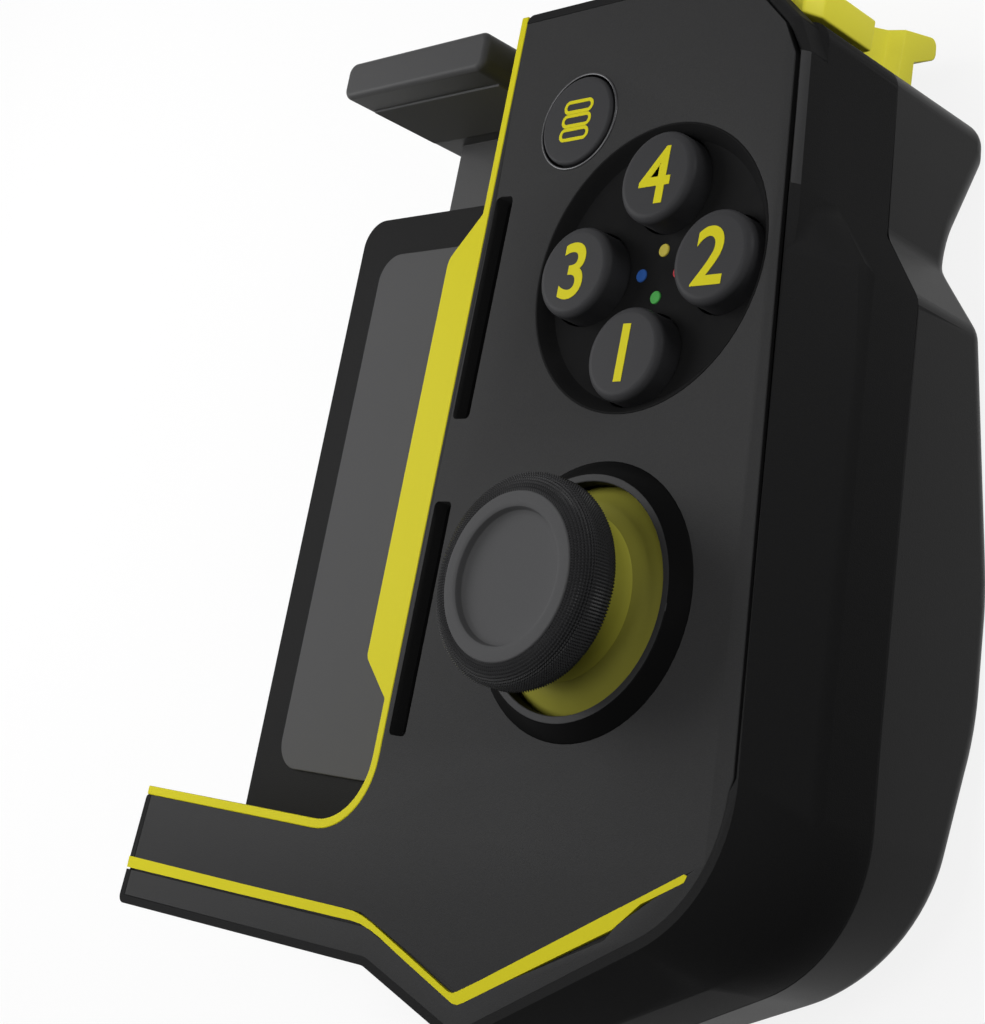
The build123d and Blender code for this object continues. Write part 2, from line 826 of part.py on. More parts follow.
cap_profile = [
    Polyline((0, cap_top - cap_dish_deep), (0, cap_under), (cap_foot_r, cap_under)),
    ThreePointArc(
        (cap_foot_r, cap_under),
        (cap_r - cap_foot_in, cap_under + cap_foot_in),
        (cap_r, cap_mid - cap_band / 2),
    ),
    Line((cap_r, cap_mid - cap_band / 2), (cap_r, cap_mid + cap_band / 2)),
    ThreePointArc(
        (cap_r, cap_mid + cap_band / 2),
        (cap_r - cap_ring_in, cap_top - cap_ring_in),
        (cap_ring_r, cap_top),
    ),
    Line((cap_ring_r, cap_top), (cap_dish_r, cap_top)),
    dish(cap_dish_r, cap_top, cap_top - cap_dish_deep),
]
stick_cap = turned(cap_profile, stick_x, stick_y)

# Stick module: a frame that holds two crossed gimbals and the click switch

frame_top = -pivot_deep + frame_above
frame = Pos(stick_x, stick_y, (frame_top - base_bottom) / 2) * Box(
    frame_out, frame_out, frame_top + base_bottom
)
frame += Pos(stick_x, stick_y, -(base_top + base_bottom) / 2) * Box(
    base_out, base_out, base_bottom - base_top
)
frame -= Pos(stick_x, stick_y, -base_bottom + base_floor) * Box(
    frame_in, frame_in, base_bottom,
    align=(Align.CENTER, Align.CENTER, Align.MIN)
)
yoke_pin = (yoke_out / 2, frame_out / 2 - pin_end_gap)
yoke = Pos(*pivot) * Box(yoke_out, yoke_out, yoke_thick)
yoke -= Pos(*pivot) * Box(yoke_in, yoke_in, yoke_thick * 2)
middle_block = Pos(*pivot) * Box(block_out, block_out, block_thick)
block_pin = (block_out / 2, yoke_out / 2 - pin_end_gap)
for sign in (-1, 1):
    inner, outer = sorted((sign * (yoke_pin[0] - pin_gap), sign * yoke_pin[1]))
    yoke += cross_rod("x", pivot, yoke_pin_r, stick_x + inner, stick_x + outer)
    inner, outer = sorted((sign * (block_pin[0] - pin_gap), sign * block_pin[1]))
    middle_block += cross_rod("y", pivot, block_pin_r, stick_y + inner, stick_y + outer)
frame -= cross_rod("x", pivot, yoke_pin_r + pin_gap, stick_x - base_out, stick_x + base_out)
yoke -= cross_rod("y", pivot, block_pin_r + pin_gap, stick_y - yoke_out, stick_y + yoke_out)
middle_block -= rod(
    stick_x, stick_y, rod_r + pin_gap, -pivot_deep - block_out, -pivot_deep + block_out
)
switch_top = -pivot_deep - rod_below - click_travel - slip
click_switch = block(
    stick_x - switch_side / 2, stick_x + switch_side / 2,
    stick_y - switch_side / 2, stick_y + switch_side / 2, -base_bottom + base_floor, switch_top
)

# Bumper, rocking on an upright pin at its inner end

bumper_flat = corners(
    (bumper_inner_x, bumper_low_y, bumper_round),
    (bumper_outer_x, bumper_low_y, bumper_round),
    (bumper_outer_x, bumper_end_y, bumper_round),
    (bumper_knee_x, bumper_knee_y, bend_r),
    (bumper_peak_x, bumper_peak_y, bend_r),
    (bumper_inner_x, bumper_peak_y, bumper_end_r),
)
bumper = slab(bumper_flat, bumper_front, bumper_back)
bumper_front_edges = bumper.faces().sort_by(Axis.Z)[-1].edges()
bumper = fillet(bumper_front_edges, bumper_round)
lug_cut_x = bumper_pin_x + lug_wide / 2 + lug_side_gap
lug_cuts = (
    (-hood_depth - lug_thick - lug_gap, cut_over),
    (-bumper_back - cut_over, -bumper_back + lug_thick + lug_gap),
)
for cut_low, cut_high in lug_cuts:
    bumper -= block(
        bumper_inner_x - cut_over, lug_cut_x, bumper_low_y - cut_over,
        bumper_peak_y + cut_over, cut_low, cut_high
    )
bumper -= rod(bumper_pin_x, bumper_pin_y, bumper_pin_r + pin_gap, -body_depth, cut_over)
bumper_post_low = shelf_y - wall - post_reach
bumper += block(
    post_x - post_wide / 2, post_x + post_wide / 2, bumper_post_low,
    bumper_low_y + bumper_round, post_mid - post_wide / 2, post_mid + post_wide / 2
)
bumper_pin = rod(bumper_pin_x, bumper_pin_y, bumper_pin_r, -bumper_back, -hood_depth + rim)
bumper_switch_y = bumper_post_low - bumper_switch_gap
bumper_switch = block(
    post_x - bumper_switch_wide / 2, post_x + bumper_switch_wide / 2,
    bumper_switch_y - bumper_switch_tall, bumper_switch_y,
    -board_deep, -board_deep + bumper_switch_thick
)

# Trigger, swinging on an axle between the ears of its bracket

def from_axle(places):
    """Places measured from the trigger's axle, as (y, z) places."""
    return [(axle_y + y, axle_z + z) for y, z in places]


trigger_side = [
    Polyline(*from_axle(trigger_under)),
    ThreePointArc(*from_axle(trigger_hook)),
    Polyline(*from_axle(trigger_front)),
]
trigger_flat = make_face(trigger_side)
trigger_wide = trigger_outer_x - trigger_inner_x
trigger = Pos(trigger_inner_x, 0, 0) * extrude(Plane.YZ * trigger_flat, trigger_wide)
tip_edges = trigger.edges().filter_by(Axis.X)
tip_edges = tip_edges.filter_by_position(Axis.Z, -far, axle_z - trigger_tip)
trigger = fillet(tip_edges, trigger_round)
trigger += cross_rod("x", (0, axle_y, axle_z), hub_r, trigger_inner_x, trigger_outer_x)
trigger -= block(
    trigger_hub_x, trigger_outer_x + cut_over, axle_y - hub_room_y, shelf_y - wall,
    axle_z - hub_room_low, axle_z + hub_room_high
)
trigger -= cross_rod(
    "x", (0, axle_y, axle_z), axle_r + pin_gap, trigger_inner_x - cut_over,
    trigger_outer_x + cut_over
)
ears_x = (
    (trigger_inner_x - ear_gap - ear_thick, trigger_inner_x - ear_gap),
    (trigger_outer_x + ear_gap, trigger_outer_x + ear_gap + ear_thick),
)
bracket = block(
    ears_x[0][0], ears_x[1][1], bracket_y, bracket_y + bracket_thick,
    axle_z - bracket_low, -board_deep - board_thick
)
for ear_low, ear_high in ears_x:
    bracket += block(
        ear_low, ear_high, bracket_y, axle_y, axle_z - ear_r, axle_z + ear_r
    )
    bracket += cross_rod("x", (0, axle_y, axle_z), ear_r, ear_low, ear_high)
axle_span = (ears_x[0][0], ears_x[1][1])
bracket -= cross_rod("x", (0, axle_y, axle_z), axle_r, *axle_span)
trigger_axle = cross_rod("x", (0, axle_y, axle_z), axle_r, *axle_span)
trigger_spring = cross_rod(
    "x", (0, axle_y, axle_z), coil_r, trigger_hub_x + slip, trigger_outer_x
)
trigger_spring -= cross_rod(
    "x", (0, axle_y, axle_z), axle_r + slip, trigger_hub_x, trigger_outer_x + cut_over
)

# Back plate behind the phone, with the channel that the clamp jaw slides in

back_flat = corners(
    (inner_x - seat_gap, back_top_y, 0),
    (back_outer_x, back_top_y, back_r),
    (back_outer_x, back_low_y, back_r),
    (inner_x - seat_gap, back_low_y, 0),
)
tongue_side = (tongue_mid_x - tongue_wide / 2, tongue_mid_x + tongue_wide / 2)
tongue_low_y = jaw_low_y - tongue_long
channel_low_y = tongue_low_y - jaw_close - wall
back_plate = slab(back_flat, plate_front, plate_split)
back_plate -= arm
back_plate -= block(
    tongue_side[0] - slip, tongue_side[1] + slip, channel_low_y, back_top_y + cut_over,
    -plate_split - cut_over, -tongue_front + slip
)
back_cover = slab(back_flat, plate_split, plate_back)
cover_edges = back_cover.faces().sort_by(Axis.Z)[0].edges().filter_by_position(
    Axis.X, back_outer_x - slip, inner_x - slip
)
back_cover = chamfer(cover_edges, rim)
cover_screws = Part()
for x_in, y_in in [(x_in, y_in) for x_in in cover_screw_xs for y_in in cover_screw_ys]:
    screw_x = back_outer_x + x_in
    screw_y = back_top_y - y_in
    cover_screws += rod(screw_x, screw_y, screw_r, -plate_back, -plate_front - wall)
    cover_screws += rod(screw_x, screw_y, screw_head_r, -plate_back, -plate_back + rim)
back_plate -= cover_screws
back_cover -= cover_screws
phone_pad = slab(
    corners(
        (inner_x - pad_inner, back_top_y - pad_margin, back_r),
        (back_outer_x + pad_margin, back_top_y - pad_margin, back_r),
        (back_outer_x + pad_margin, cradle_y + pad_margin, back_r),
        (inner_x - pad_inner, cradle_y + pad_margin, back_r),
    ),
    plate_front - pad_thick, plate_front
)
spring_low_y = channel_low_y
spring_high_y = back_top_y - spring_stop
clamp_spring = cross_rod(
    "y", (tongue_mid_x, 0, -tongue_front - tongue_thick / 2), spring_r,
    spring_low_y, spring_high_y
)

# Clamp jaw: a rounded bar over the phone, its pad and the tongue that slides behind the phone

jaw_bar = block(
    jaw_outer_x, jaw_inner_x, jaw_low_y, jaw_high_y, -tongue_front - tongue_thick, 0
)
jaw_bar = fillet(jaw_bar.edges().filter_by(Axis.Z), jaw_round)
jaw_bar = fillet(jaw_bar.faces().sort_by(Axis.Z)[-1].edges(), jaw_round / 2)
tongue = block(
    *tongue_side, tongue_low_y, jaw_low_y + jaw_round,
    -tongue_front - tongue_thick, -tongue_front
)
tongue -= block(
    tongue_mid_x - tongue_slot / 2, tongue_mid_x + tongue_slot / 2,
    tongue_low_y - cut_over, spring_high_y, -plate_back, -plate_front
)
tab = block(
    jaw_inner_x - jaw_round, jaw_inner_x + tab_wide, jaw_low_y + rim, jaw_high_y - rim,
    -arm_depth, -bumper_front - wall
)
jaw_pad_room = block(
    jaw_outer_x + jaw_round, jaw_inner_x - jaw_round, jaw_low_y - cut_over,
    jaw_low_y + rim, -plate_front, -bumper_front
)
clamp_jaw = jaw_bar + tongue + tab - jaw_pad_room
jaw_pad = block(
    jaw_outer_x + jaw_round, jaw_inner_x - jaw_round, jaw_low_y - slip,
    jaw_low_y + rim, -plate_front, -bumper_front
)

# Board, switches and battery

board_flat = corners(
    (board_left_x, board_top_y, corner_r),
    (board_neck_x, board_top_y, corner_r),
    (board_neck_x, board_step_y, corner_r),
    (board_right_x, board_step_y, corner_r),
    (board_right_x, board_low_y, corner_r),
    (board_left_x, board_low_y, corner_r),
)
board_flat -= Pos(stick_x, stick_y) * Rectangle(base_out + slip, base_out + slip)
main_board = slab(board_flat, board_deep, board_deep + board_thick)
button_domes = Part()
for x, y in button_spots.values():
    button_domes += Pos(x, y, -board_deep + domes_tall / 2) * Cone(
        domes_r, domes_top_r, domes_tall
    )
button_domes += Pos(menu_x, menu_y, -board_deep + menu_dome_tall / 2) * Cone(
    menu_dome_r, menu_dome_top_r, menu_dome_tall
)
battery_top = -board_deep - board_thick - seat_gap
battery = Pos(0, battery_y, battery_top - battery_thick / 2) * Box(
    battery_wide, battery_tall, battery_thick
)
battery = fillet(battery.edges().filter_by(Axis.X), bend_r)
charge_socket = socket_body - Pos(inner_x, socket_y, socket_z) * Rot(0, 90, 0) * extrude(
    RectangleRounded(socket_tall - rim, socket_wide - rim, socket_tall / 2 - rim),
    socket_long - rim
)

pieces = {
    "front_shell": front_shell,
    "face_plate": face_plate,
    "rear_shell": rear_shell,
    "cradle_liner": cradle_liner,
    "accent_stripe": accent_stripe,
    "button_well": button_well,
    "stick_collar": stick_collar,
    "menu_ring": menu_ring,
    "menu_button": menu_button,
    "stick_dome": stick_dome,
    "stick_stem": stick_stem,
    "stick_cap": stick_cap,
    "stick_frame": frame,
    "stick_yoke": yoke,
    "stick_block": middle_block,
    "click_switch": click_switch,
    "bumper": bumper,
    "bumper_pin": bumper_pin,
    "bumper_switch": bumper_switch,
    "trigger": trigger,
    "trigger_axle": trigger_axle,
    "trigger_spring": trigger_spring,
    "shoulder_bracket": bracket,
    "back_plate": back_plate,
    "back_cover": back_cover,
    "cover_screws": cover_screws,
    "phone_pad": phone_pad,
    "clamp_jaw": clamp_jaw,
    "jaw_pad": jaw_pad,
    "clamp_spring": clamp_spring,
    "main_board": main_board,
    "button_domes": button_domes,
    "battery": battery,
    "charge_socket": charge_socket,
    "dock_magnets": magnets,
    "housing_screws": screws,
}
for name, button in buttons.items():
    pieces["button_" + name] = button
for name, dot in dots.items():
    pieces["dot_" + name] = dot

# The origin is under the middle of the whole part, on the surface that it lies on

span = Compound([piece for shape in pieces.values() for piece in shape.solids()]).bounding_box()
shift = Pos(-(span.min.X + span.max.X) / 2, -(span.min.Y + span.max.Y) / 2, -span.min.Z)
os.makedirs("parts", exist_ok=True)
for name, piece in pieces.items():
    export_step(shift * piece, "parts/" + name + ".step")
print("button centre at", shift.position)
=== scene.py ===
# %% [markdown]
# The right-hand grip of a mobile game controller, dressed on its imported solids.
# The solids bring every piece at its real size. This file gives them soft moulded edges and
# finishes, models anew the pieces whose looks need more than a solid, and lights the whole.

# %% Load the frame
import bpy
import json
import math
from mathutils import Matrix, Vector


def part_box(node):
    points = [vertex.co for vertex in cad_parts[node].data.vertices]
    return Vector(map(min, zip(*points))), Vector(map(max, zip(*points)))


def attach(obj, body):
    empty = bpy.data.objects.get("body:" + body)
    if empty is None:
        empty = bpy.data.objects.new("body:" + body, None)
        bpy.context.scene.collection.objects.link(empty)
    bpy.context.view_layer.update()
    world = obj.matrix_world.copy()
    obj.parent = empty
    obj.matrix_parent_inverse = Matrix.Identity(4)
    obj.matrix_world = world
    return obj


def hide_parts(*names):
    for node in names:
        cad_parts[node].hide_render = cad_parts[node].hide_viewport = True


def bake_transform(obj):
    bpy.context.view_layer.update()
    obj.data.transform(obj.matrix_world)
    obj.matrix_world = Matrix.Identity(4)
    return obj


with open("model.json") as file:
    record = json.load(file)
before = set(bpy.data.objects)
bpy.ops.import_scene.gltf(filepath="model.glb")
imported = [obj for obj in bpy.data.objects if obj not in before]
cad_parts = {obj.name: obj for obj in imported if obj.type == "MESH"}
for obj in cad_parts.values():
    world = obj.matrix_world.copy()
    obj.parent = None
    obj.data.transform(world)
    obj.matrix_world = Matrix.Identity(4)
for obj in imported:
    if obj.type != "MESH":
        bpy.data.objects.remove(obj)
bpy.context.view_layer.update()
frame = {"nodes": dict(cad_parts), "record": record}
nodes = frame["nodes"]

# %% [markdown]
# Places on the grip are easiest to give from the middle of the four face buttons, on the face.
# The button well is round and has that middle, and its upper rim lies on the face. From there x
# points outwards to the palm, y towards the triggers and z out of the face, in millimetres.

# %% Where the face is
MM = 0.001
well_low, well_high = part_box("button_well")
well_middle = (well_low + well_high) / 2
face_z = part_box("face_plate")[1].z


def at(x, y, z=0.0):
    """A place in millimetres from the button centre, as a place in metres in the frame."""
    return Vector((well_middle.x + x * MM, well_middle.y + y * MM, face_z + z * MM))


print("button centre", [round(v * 1000, 3) for v in at(0, 0)])

# %% [markdown]
# The camera is the photograph's: a short distance of about 17 cm, which makes the near side of the
# grip look wide, and a lens of 70 mm on a 36 mm frame. It is rolled, as the picture is.

# %% Camera
camera_right = Vector((0.6786, 0.1909, -0.7093))
camera_up = Vector((-0.0089, 0.9677, 0.2519))
camera_back = Vector((0.7345, -0.1647, 0.6583))
camera_place = at(116.8, -51.1, 116.6)
camera_data = bpy.data.cameras.new("camera")
camera_data.lens = 69.83
camera_data.sensor_width = 36.0
camera_data.clip_start = 0.005
camera_data.clip_end = 20.0
camera = bpy.data.objects.new("camera", camera_data)
camera.matrix_world = Matrix.Translation(camera_place) @ Matrix(
    (camera_right, camera_up, camera_back)
).transposed().to_4x4()
scene = bpy.context.scene
scene.collection.objects.link(camera)
scene.camera = camera
print("camera", [round(v, 4) for v in camera.location])

# %% [markdown]
# Studio light for a black and yellow product. Each lamp has one job: the key stands in front of
# the face and leaves the side dark, and the left lamp makes the face lighter towards the arm and
# shades the keys and the well. The weak sheen lamp stands where the flared facet faces it, and a
# small lamp beside the levers lifts their yellow. The world is white to the camera and to mirrors,
# and dark to the light that falls on the grip, so that the side isn't filled from all round.

# %% World
scene.view_settings.view_transform = "Standard"
WORLD_LIGHT, WORLD_SEEN = 0.07, 1.0


def seen_share(tree):
    """One where the eye or a mirror looks, and zero for the light that falls on things."""
    path = tree.nodes.new("ShaderNodeLightPath")
    total = path.outputs["Is Camera Ray"]
    for kind in ("Is Glossy Ray", "Is Transmission Ray"):
        add = tree.nodes.new("ShaderNodeMath")
        add.operation = "ADD"
        add.use_clamp = True
        tree.links.new(total, add.inputs[0])
        tree.links.new(path.outputs[kind], add.inputs[1])
        total = add.outputs[0]
    return total


world = bpy.data.worlds.new("studio")
scene.world = world
world.use_nodes = True
world_mix = world.node_tree.nodes.new("ShaderNodeMix")
world_mix.inputs[2].default_value = WORLD_LIGHT
world_mix.inputs[3].default_value = WORLD_SEEN
world.node_tree.links.new(seen_share(world.node_tree), world_mix.inputs[0])
background = world.node_tree.nodes["Background"]
world.node_tree.links.new(world_mix.outputs[0], background.inputs["Strength"])
background.inputs["Color"].default_value = (1.0, 1.0, 1.0, 1.0)
print("world", world.name)


# %% Lamps
def lamp(name, direction, distance, size, power):
    """A square soft lamp, so many millimetres from the middle of the face in a direction."""
    data = bpy.data.lights.new(name, "AREA")
    data.size = size * MM
    data.energy = power
    item = bpy.data.objects.new(name, data)
    way = Vector(direction).normalized()
    item.location = at(0, -20) + way * distance * MM
    item.rotation_euler = way.to_track_quat("Z", "Y").to_euler()
    scene.collection.objects.link(item)
    print("lamp", name, round(power, 3), "W")


lamp("key", (-0.05, -0.12, 1.0), 420, 260, 0.86)
lamp("left", (-0.78, 0.12, 0.58), 260, 130, 0.40)
lamp("sheen", (0.62, 0.16, 0.75), 400, 160, 0.145)
lamp("levers", (0.72, 0.62, 0.06), 125, 40, 0.045)

# %% [markdown]
# The product stands on a white sweep. A plain white plane would throw light back up under the grip.
# So this floor is pale only to the eye, where it also glows a little to meet the white backdrop and
# still shows a soft shadow, and it is dark to the light that falls on it.

# %% Floor
FLOOR_DARK, FLOOR_PALE, FLOOR_GLOW = 0.16, 0.85, 0.86
bpy.ops.mesh.primitive_plane_add(size=6.0, location=(0, 0, 0))
floor = bpy.context.active_object
floor.name = "floor"
floor_material = bpy.data.materials.new("floor_white")
floor_material.use_nodes = True
tree = floor_material.node_tree
surface = tree.nodes["Principled BSDF"]
paint = tree.nodes.new("ShaderNodeMix")
paint.data_type = "RGBA"
paint.inputs[6].default_value = (FLOOR_DARK, FLOOR_DARK, FLOOR_DARK, 1.0)
paint.inputs[7].default_value = (FLOOR_PALE, FLOOR_PALE, FLOOR_PALE, 1.0)
tree.links.new(seen_share(tree), paint.inputs[0])
tree.links.new(paint.outputs[2], surface.inputs["Base Color"])
surface.inputs["Roughness"].default_value = 0.9
surface.inputs["Specular IOR Level"].default_value = 0.0
glow = tree.nodes.new("ShaderNodeEmission")
glow.inputs["Strength"].default_value = 1.0
share = tree.nodes.new("ShaderNodeMath")
share.operation = "MULTIPLY"
share.inputs[1].default_value = FLOOR_GLOW
blend = tree.nodes.new("ShaderNodeMixShader")
tree.links.new(seen_share(tree), share.inputs[0])
tree.links.new(share.outputs[0], blend.inputs[0])
tree.links.new(surface.outputs[0], blend.inputs[1])
tree.links.new(glow.outputs[0], blend.inputs[2])
tree.links.new(blend.outputs[0], tree.nodes["Material Output"].inputs["Surface"])
floor.data.materials.append(floor_material)
print("floor", [round(v, 2) for v in floor.dimensions])

# %% [markdown]
# Moulded plastic is never one flat colour. Its mould is etched, so the surface is covered in grain
# a tenth of a millimetre wide, which breaks up the gloss, and broad handling marks change the gloss
# a little from place to place. Both come from noise on Object coordinates, so they stay in place.

# %% Moulded plastic
HANDLING_SCALE, GLOSS_SPREAD = 60.0, 0.06


def moulded(
    name, colour, roughness, grain=0.12, depth=0.012, vary=0.10, specular=0.28, coat=0.0
):
    """A grained plastic: colour, gloss and a bump from noise, with the grain in millimetres."""
    material = bpy.data.materials.new(name)
    material.use_nodes = True
    tree = material.node_tree
    shader = tree.nodes["Principled BSDF"]
    shader.inputs["Specular IOR Level"].default_value = specular
    shader.inputs["Coat Weight"].default_value = coat
    shader.inputs["Coat Roughness"].default_value = 0.25
    place = tree.nodes.new("ShaderNodeTexCoord")
    fine = tree.nodes.new("ShaderNodeTexNoise")
    fine.inputs["Scale"].default_value = 1.0 / (grain * MM)
    fine.inputs["Detail"].default_value = 3.0
    broad = tree.nodes.new("ShaderNodeTexNoise")
    broad.inputs["Scale"].default_value = HANDLING_SCALE
    broad.inputs["Detail"].default_value = 4.0
    tree.links.new(place.outputs["Object"], fine.inputs["Vector"])
    tree.links.new(place.outputs["Object"], broad.inputs["Vector"])
    tint = tree.nodes.new("ShaderNodeMix")
    tint.data_type = "RGBA"
    tint.inputs[6].default_value = (*[c * (1 - vary) for c in colour], 1)
    tint.inputs[7].default_value = (*[min(1, c * (1 + vary)) for c in colour], 1)
    tree.links.new(fine.outputs["Fac"], tint.inputs[0])
    tree.links.new(tint.outputs[2], shader.inputs["Base Color"])
    gloss = tree.nodes.new("ShaderNodeMapRange")
    gloss.inputs["To Min"].default_value = roughness - GLOSS_SPREAD
    gloss.inputs["To Max"].default_value = roughness + GLOSS_SPREAD
    tree.links.new(broad.outputs["Fac"], gloss.inputs["Value"])
    tree.links.new(gloss.outputs[0], shader.inputs["Roughness"])
    bump = tree.nodes.new("ShaderNodeBump")
    bump.inputs["Strength"].default_value = 1.0
    bump.inputs["Distance"].default_value = depth * MM
    tree.links.new(fine.outputs["Fac"], bump.inputs["Height"])
    tree.links.new(bump.outputs[0], shader.inputs["Normal"])
    return material


# %% [markdown]
# Metal pieces are few and mostly inside: screws, pins, springs. Fine turning marks are noise that
# is stretched round them.

# %% Metal
STREAK_STRETCH, STREAK_SCALE, STREAK_SPREAD = (2.0, 2.0, 12.0), 1500.0, 0.08


def turned_metal(name, colour, roughness):
    """A plain metal with fine streaks."""
    material = bpy.data.materials.new(name)
    material.use_nodes = True
    tree = material.node_tree
    shader = tree.nodes["Principled BSDF"]
    shader.inputs["Metallic"].default_value = 1.0
    shader.inputs["Base Color"].default_value = (*colour, 1)
    place = tree.nodes.new("ShaderNodeTexCoord")
    stretch = tree.nodes.new("ShaderNodeMapping")
    stretch.inputs["Scale"].default_value = STREAK_STRETCH
    streaks = tree.nodes.new("ShaderNodeTexNoise")
    streaks.inputs["Scale"].default_value = STREAK_SCALE
    tree.links.new(place.outputs["Object"], stretch.inputs["Vector"])
    tree.links.new(stretch.outputs[0], streaks.inputs["Vector"])
    gloss = tree.nodes.new("ShaderNodeMapRange")
    gloss.inputs["To Min"].default_value = roughness - STREAK_SPREAD
    gloss.inputs["To Max"].default_value = roughness + STREAK_SPREAD
    tree.links.new(streaks.outputs["Fac"], gloss.inputs["Value"])
    tree.links.new(gloss.outputs[0], shader.inputs["Roughness"])
    return material


# %% [markdown]
# One finish for each of the record's material slots. The shells are a shade darker than the face,
# the keys are as grey as the face but smoother, and the thumb cap is lighter than both.

# %% Finishes by slot
finishes = {
    "shell": moulded(
        "black_shell", (0.0165, 0.0165, 0.0168), 0.42, depth=0.02, vary=0.16, specular=0.008
    ),
    "face": moulded(
        "face_black", (0.034, 0.034, 0.0345), 0.50, depth=0.02, vary=0.16, specular=0.02
    ),
    "accent": moulded(
        "accent_yellow", (0.60, 0.54, 0.016), 0.42, depth=0.004, vary=0.03, specular=0.03
    ),
    "key": moulded("key_grey", (0.034, 0.034, 0.036), 0.42, depth=0.006, specular=0.04),
    "bright": turned_metal("bright_ring", (0.05, 0.05, 0.052), 0.3),
    "grip_rubber": moulded(
        "cap_rubber", (0.080, 0.080, 0.082), 0.6, grain=0.08, depth=0.006, specular=0.02
    ),
    "nylon": moulded("nylon", (0.30, 0.30, 0.27), 0.5),
    "metal": turned_metal("nickel", (0.6, 0.58, 0.55), 0.3),
    "steel": turned_metal("steel", (0.5, 0.5, 0.5), 0.35),
    "board": moulded("board_green", (0.015, 0.10, 0.04), 0.3, coat=0.5),
    "silicone": moulded("silicone", (0.18, 0.18, 0.18), 0.6),
    "cell": moulded("cell_wrap", (0.20, 0.22, 0.25), 0.4),
}
for hue, colour in (
    ("green", (0.055, 0.30, 0.06)),
    ("red", (0.42, 0.03, 0.04)),
    ("blue", (0.025, 0.09, 0.32)),
    ("yellow", (0.42, 0.35, 0.05)),
):
    finishes["dot_" + hue] = moulded("mark_" + hue, colour, 0.4, depth=0.002, specular=0.05)
slot_of = {s["node"]: s["material_slot"] for s in frame["record"]["subparts"]}
print("finishes", len(finishes))

# %% [markdown]
# Some pieces of a slot come from another mould or batch, or look different where they are: the rear
# half is glossier, the jaw is greyer than the shells, and the well and the collar are nearly black.
# The levers' yellow is paler than the inlay's, and lighter too as painted light, for the light they
# catch at the top. The dome's and the stem's yellow are darker, as painted shade for the cap's
# shadow, the dome's the darkest. A mask over the slot's finish could do it too, but a finish for
# each piece is simpler to see and change.

# %% Finishes by piece
own_finish = {
    "rear_shell": moulded("rear_black", (0.010, 0.010, 0.0103), 0.38, specular=0.085),
    # Painted light: the levers' yellow is lighter than the inlay's, for the light they catch at the
    # top.
    "bumper": moulded(
        "lever_yellow_painted_light", (0.90, 0.83, 0.064), 0.40, depth=0.004, vary=0.03, specular=0.1
    ),
    "trigger": moulded(
        "trigger_yellow_painted_light", (0.93, 0.86, 0.070), 0.40, depth=0.004, vary=0.03, specular=0.1
    ),
    "button_well": moulded("well_black", (0.009, 0.009, 0.0092), 0.5, specular=0.008),
    "stick_collar": moulded(
        "collar_black", (0.0040, 0.0040, 0.0041), 0.35, depth=0.004, specular=0.012
    ),
    # Painted shade: the dome and the stem are darker yellows than the inlay's, for the shade under
    # the cap.
    "stick_dome": moulded(
        "dome_yellow_painted_shade", (0.30, 0.285, 0.045), 0.45, depth=0.004, vary=0.03, specular=0.06
    ),
    "stick_stem": moulded(
        "stem_yellow_painted_shade", (0.42, 0.40, 0.05), 0.45, depth=0.004, vary=0.03, specular=0.06
    ),
    "clamp_jaw": moulded("jaw_grey", (0.045, 0.045, 0.046), 0.45, specular=0.08),
}
for name, item in nodes.items():
    item.data.materials.clear()
    item.data.materials.append(own_finish.get(name, finishes[slot_of[name]]))
print("own finishes", len(own_finish))

# %% [markdown]
# No moulded edge is sharp. A node's mesh is loose triangles, so modifiers weld it, merge the
# triangles of flat faces, and then round the edges that are left. The mesh itself isn't changed.

# %% Soft edges
WELD_REACH = 0.000002
FLAT_ANGLE = math.radians(0.6)
SHARP_ANGLE = math.radians(32)
USUAL_RADIUS = 0.12
edge_radius = {
    "front_shell": 0.25, "rear_shell": 0.3, "clamp_jaw": 0.35, "phone_pad": 0.15,
    "accent_stripe": 0.05, "stick_cap": 0.0,
}


def soften(item, radius):
    """Weld, clean and round a CAD node's edges with live modifiers."""
    weld = item.modifiers.new("weld", "WELD")
    weld.merge_threshold = WELD_REACH
    clean = item.modifiers.new("clean", "DECIMATE")
    clean.decimate_type = "DISSOLVE"
    clean.angle_limit = FLAT_ANGLE
    if radius:
        bevel = item.modifiers.new("round", "BEVEL")
        bevel.width = radius * MM
        bevel.segments = 3
        bevel.limit_method = "ANGLE"
        bevel.angle_limit = SHARP_ANGLE
        bevel.harden_normals = True


for name, item in nodes.items():
    soften(item, edge_radius.get(name, USUAL_RADIUS))
print("softened", len(nodes))

# %% [markdown]
# The pieces below are modelled by hand, with the tools of edit mode. Two helpers do the clicking:
# one selects what lies in a place, and one hands a finished mesh to its body and finish. A place on
# a mesh is read in the same millimetres as the places above.

# %% Hand tools
def leave_edit():
    """Back to object mode, whatever mode is on."""
    if bpy.context.object and bpy.context.object.mode != "OBJECT":
        bpy.ops.object.mode_set(mode="OBJECT")


def pick(item, kind, test):
    """Go to edit mode with only those vertices, edges or faces selected that pass a test."""
    leave_edit()
    bpy.ops.object.select_all(action="DESELECT")
    bpy.context.view_layer.objects.active = item
    item.select_set(True)
    mesh = item.data
    for group in (mesh.vertices, mesh.edges, mesh.polygons):
        group.foreach_set("select", [False] * len(group))
    bpy.context.tool_settings.mesh_select_mode = [kind == k for k in ("VERT", "EDGE", "FACE")]
    if kind == "VERT":
        chosen = [v for v in mesh.vertices if test(v.co)]
    elif kind == "EDGE":
        chosen = [
            e for e in mesh.edges
            if test(mesh.vertices[e.vertices[0]].co, mesh.vertices[e.vertices[1]].co)
        ]
    else:
        chosen = [f for f in mesh.polygons if test(f.center, f.normal)]
    for part in chosen:
        part.select = True
    bpy.ops.object.mode_set(mode="EDIT")
    return len(chosen)


def local(co):
    """A place in the frame as millimetres from the button centre."""
    return (Vector(co) - at(0, 0)) / MM


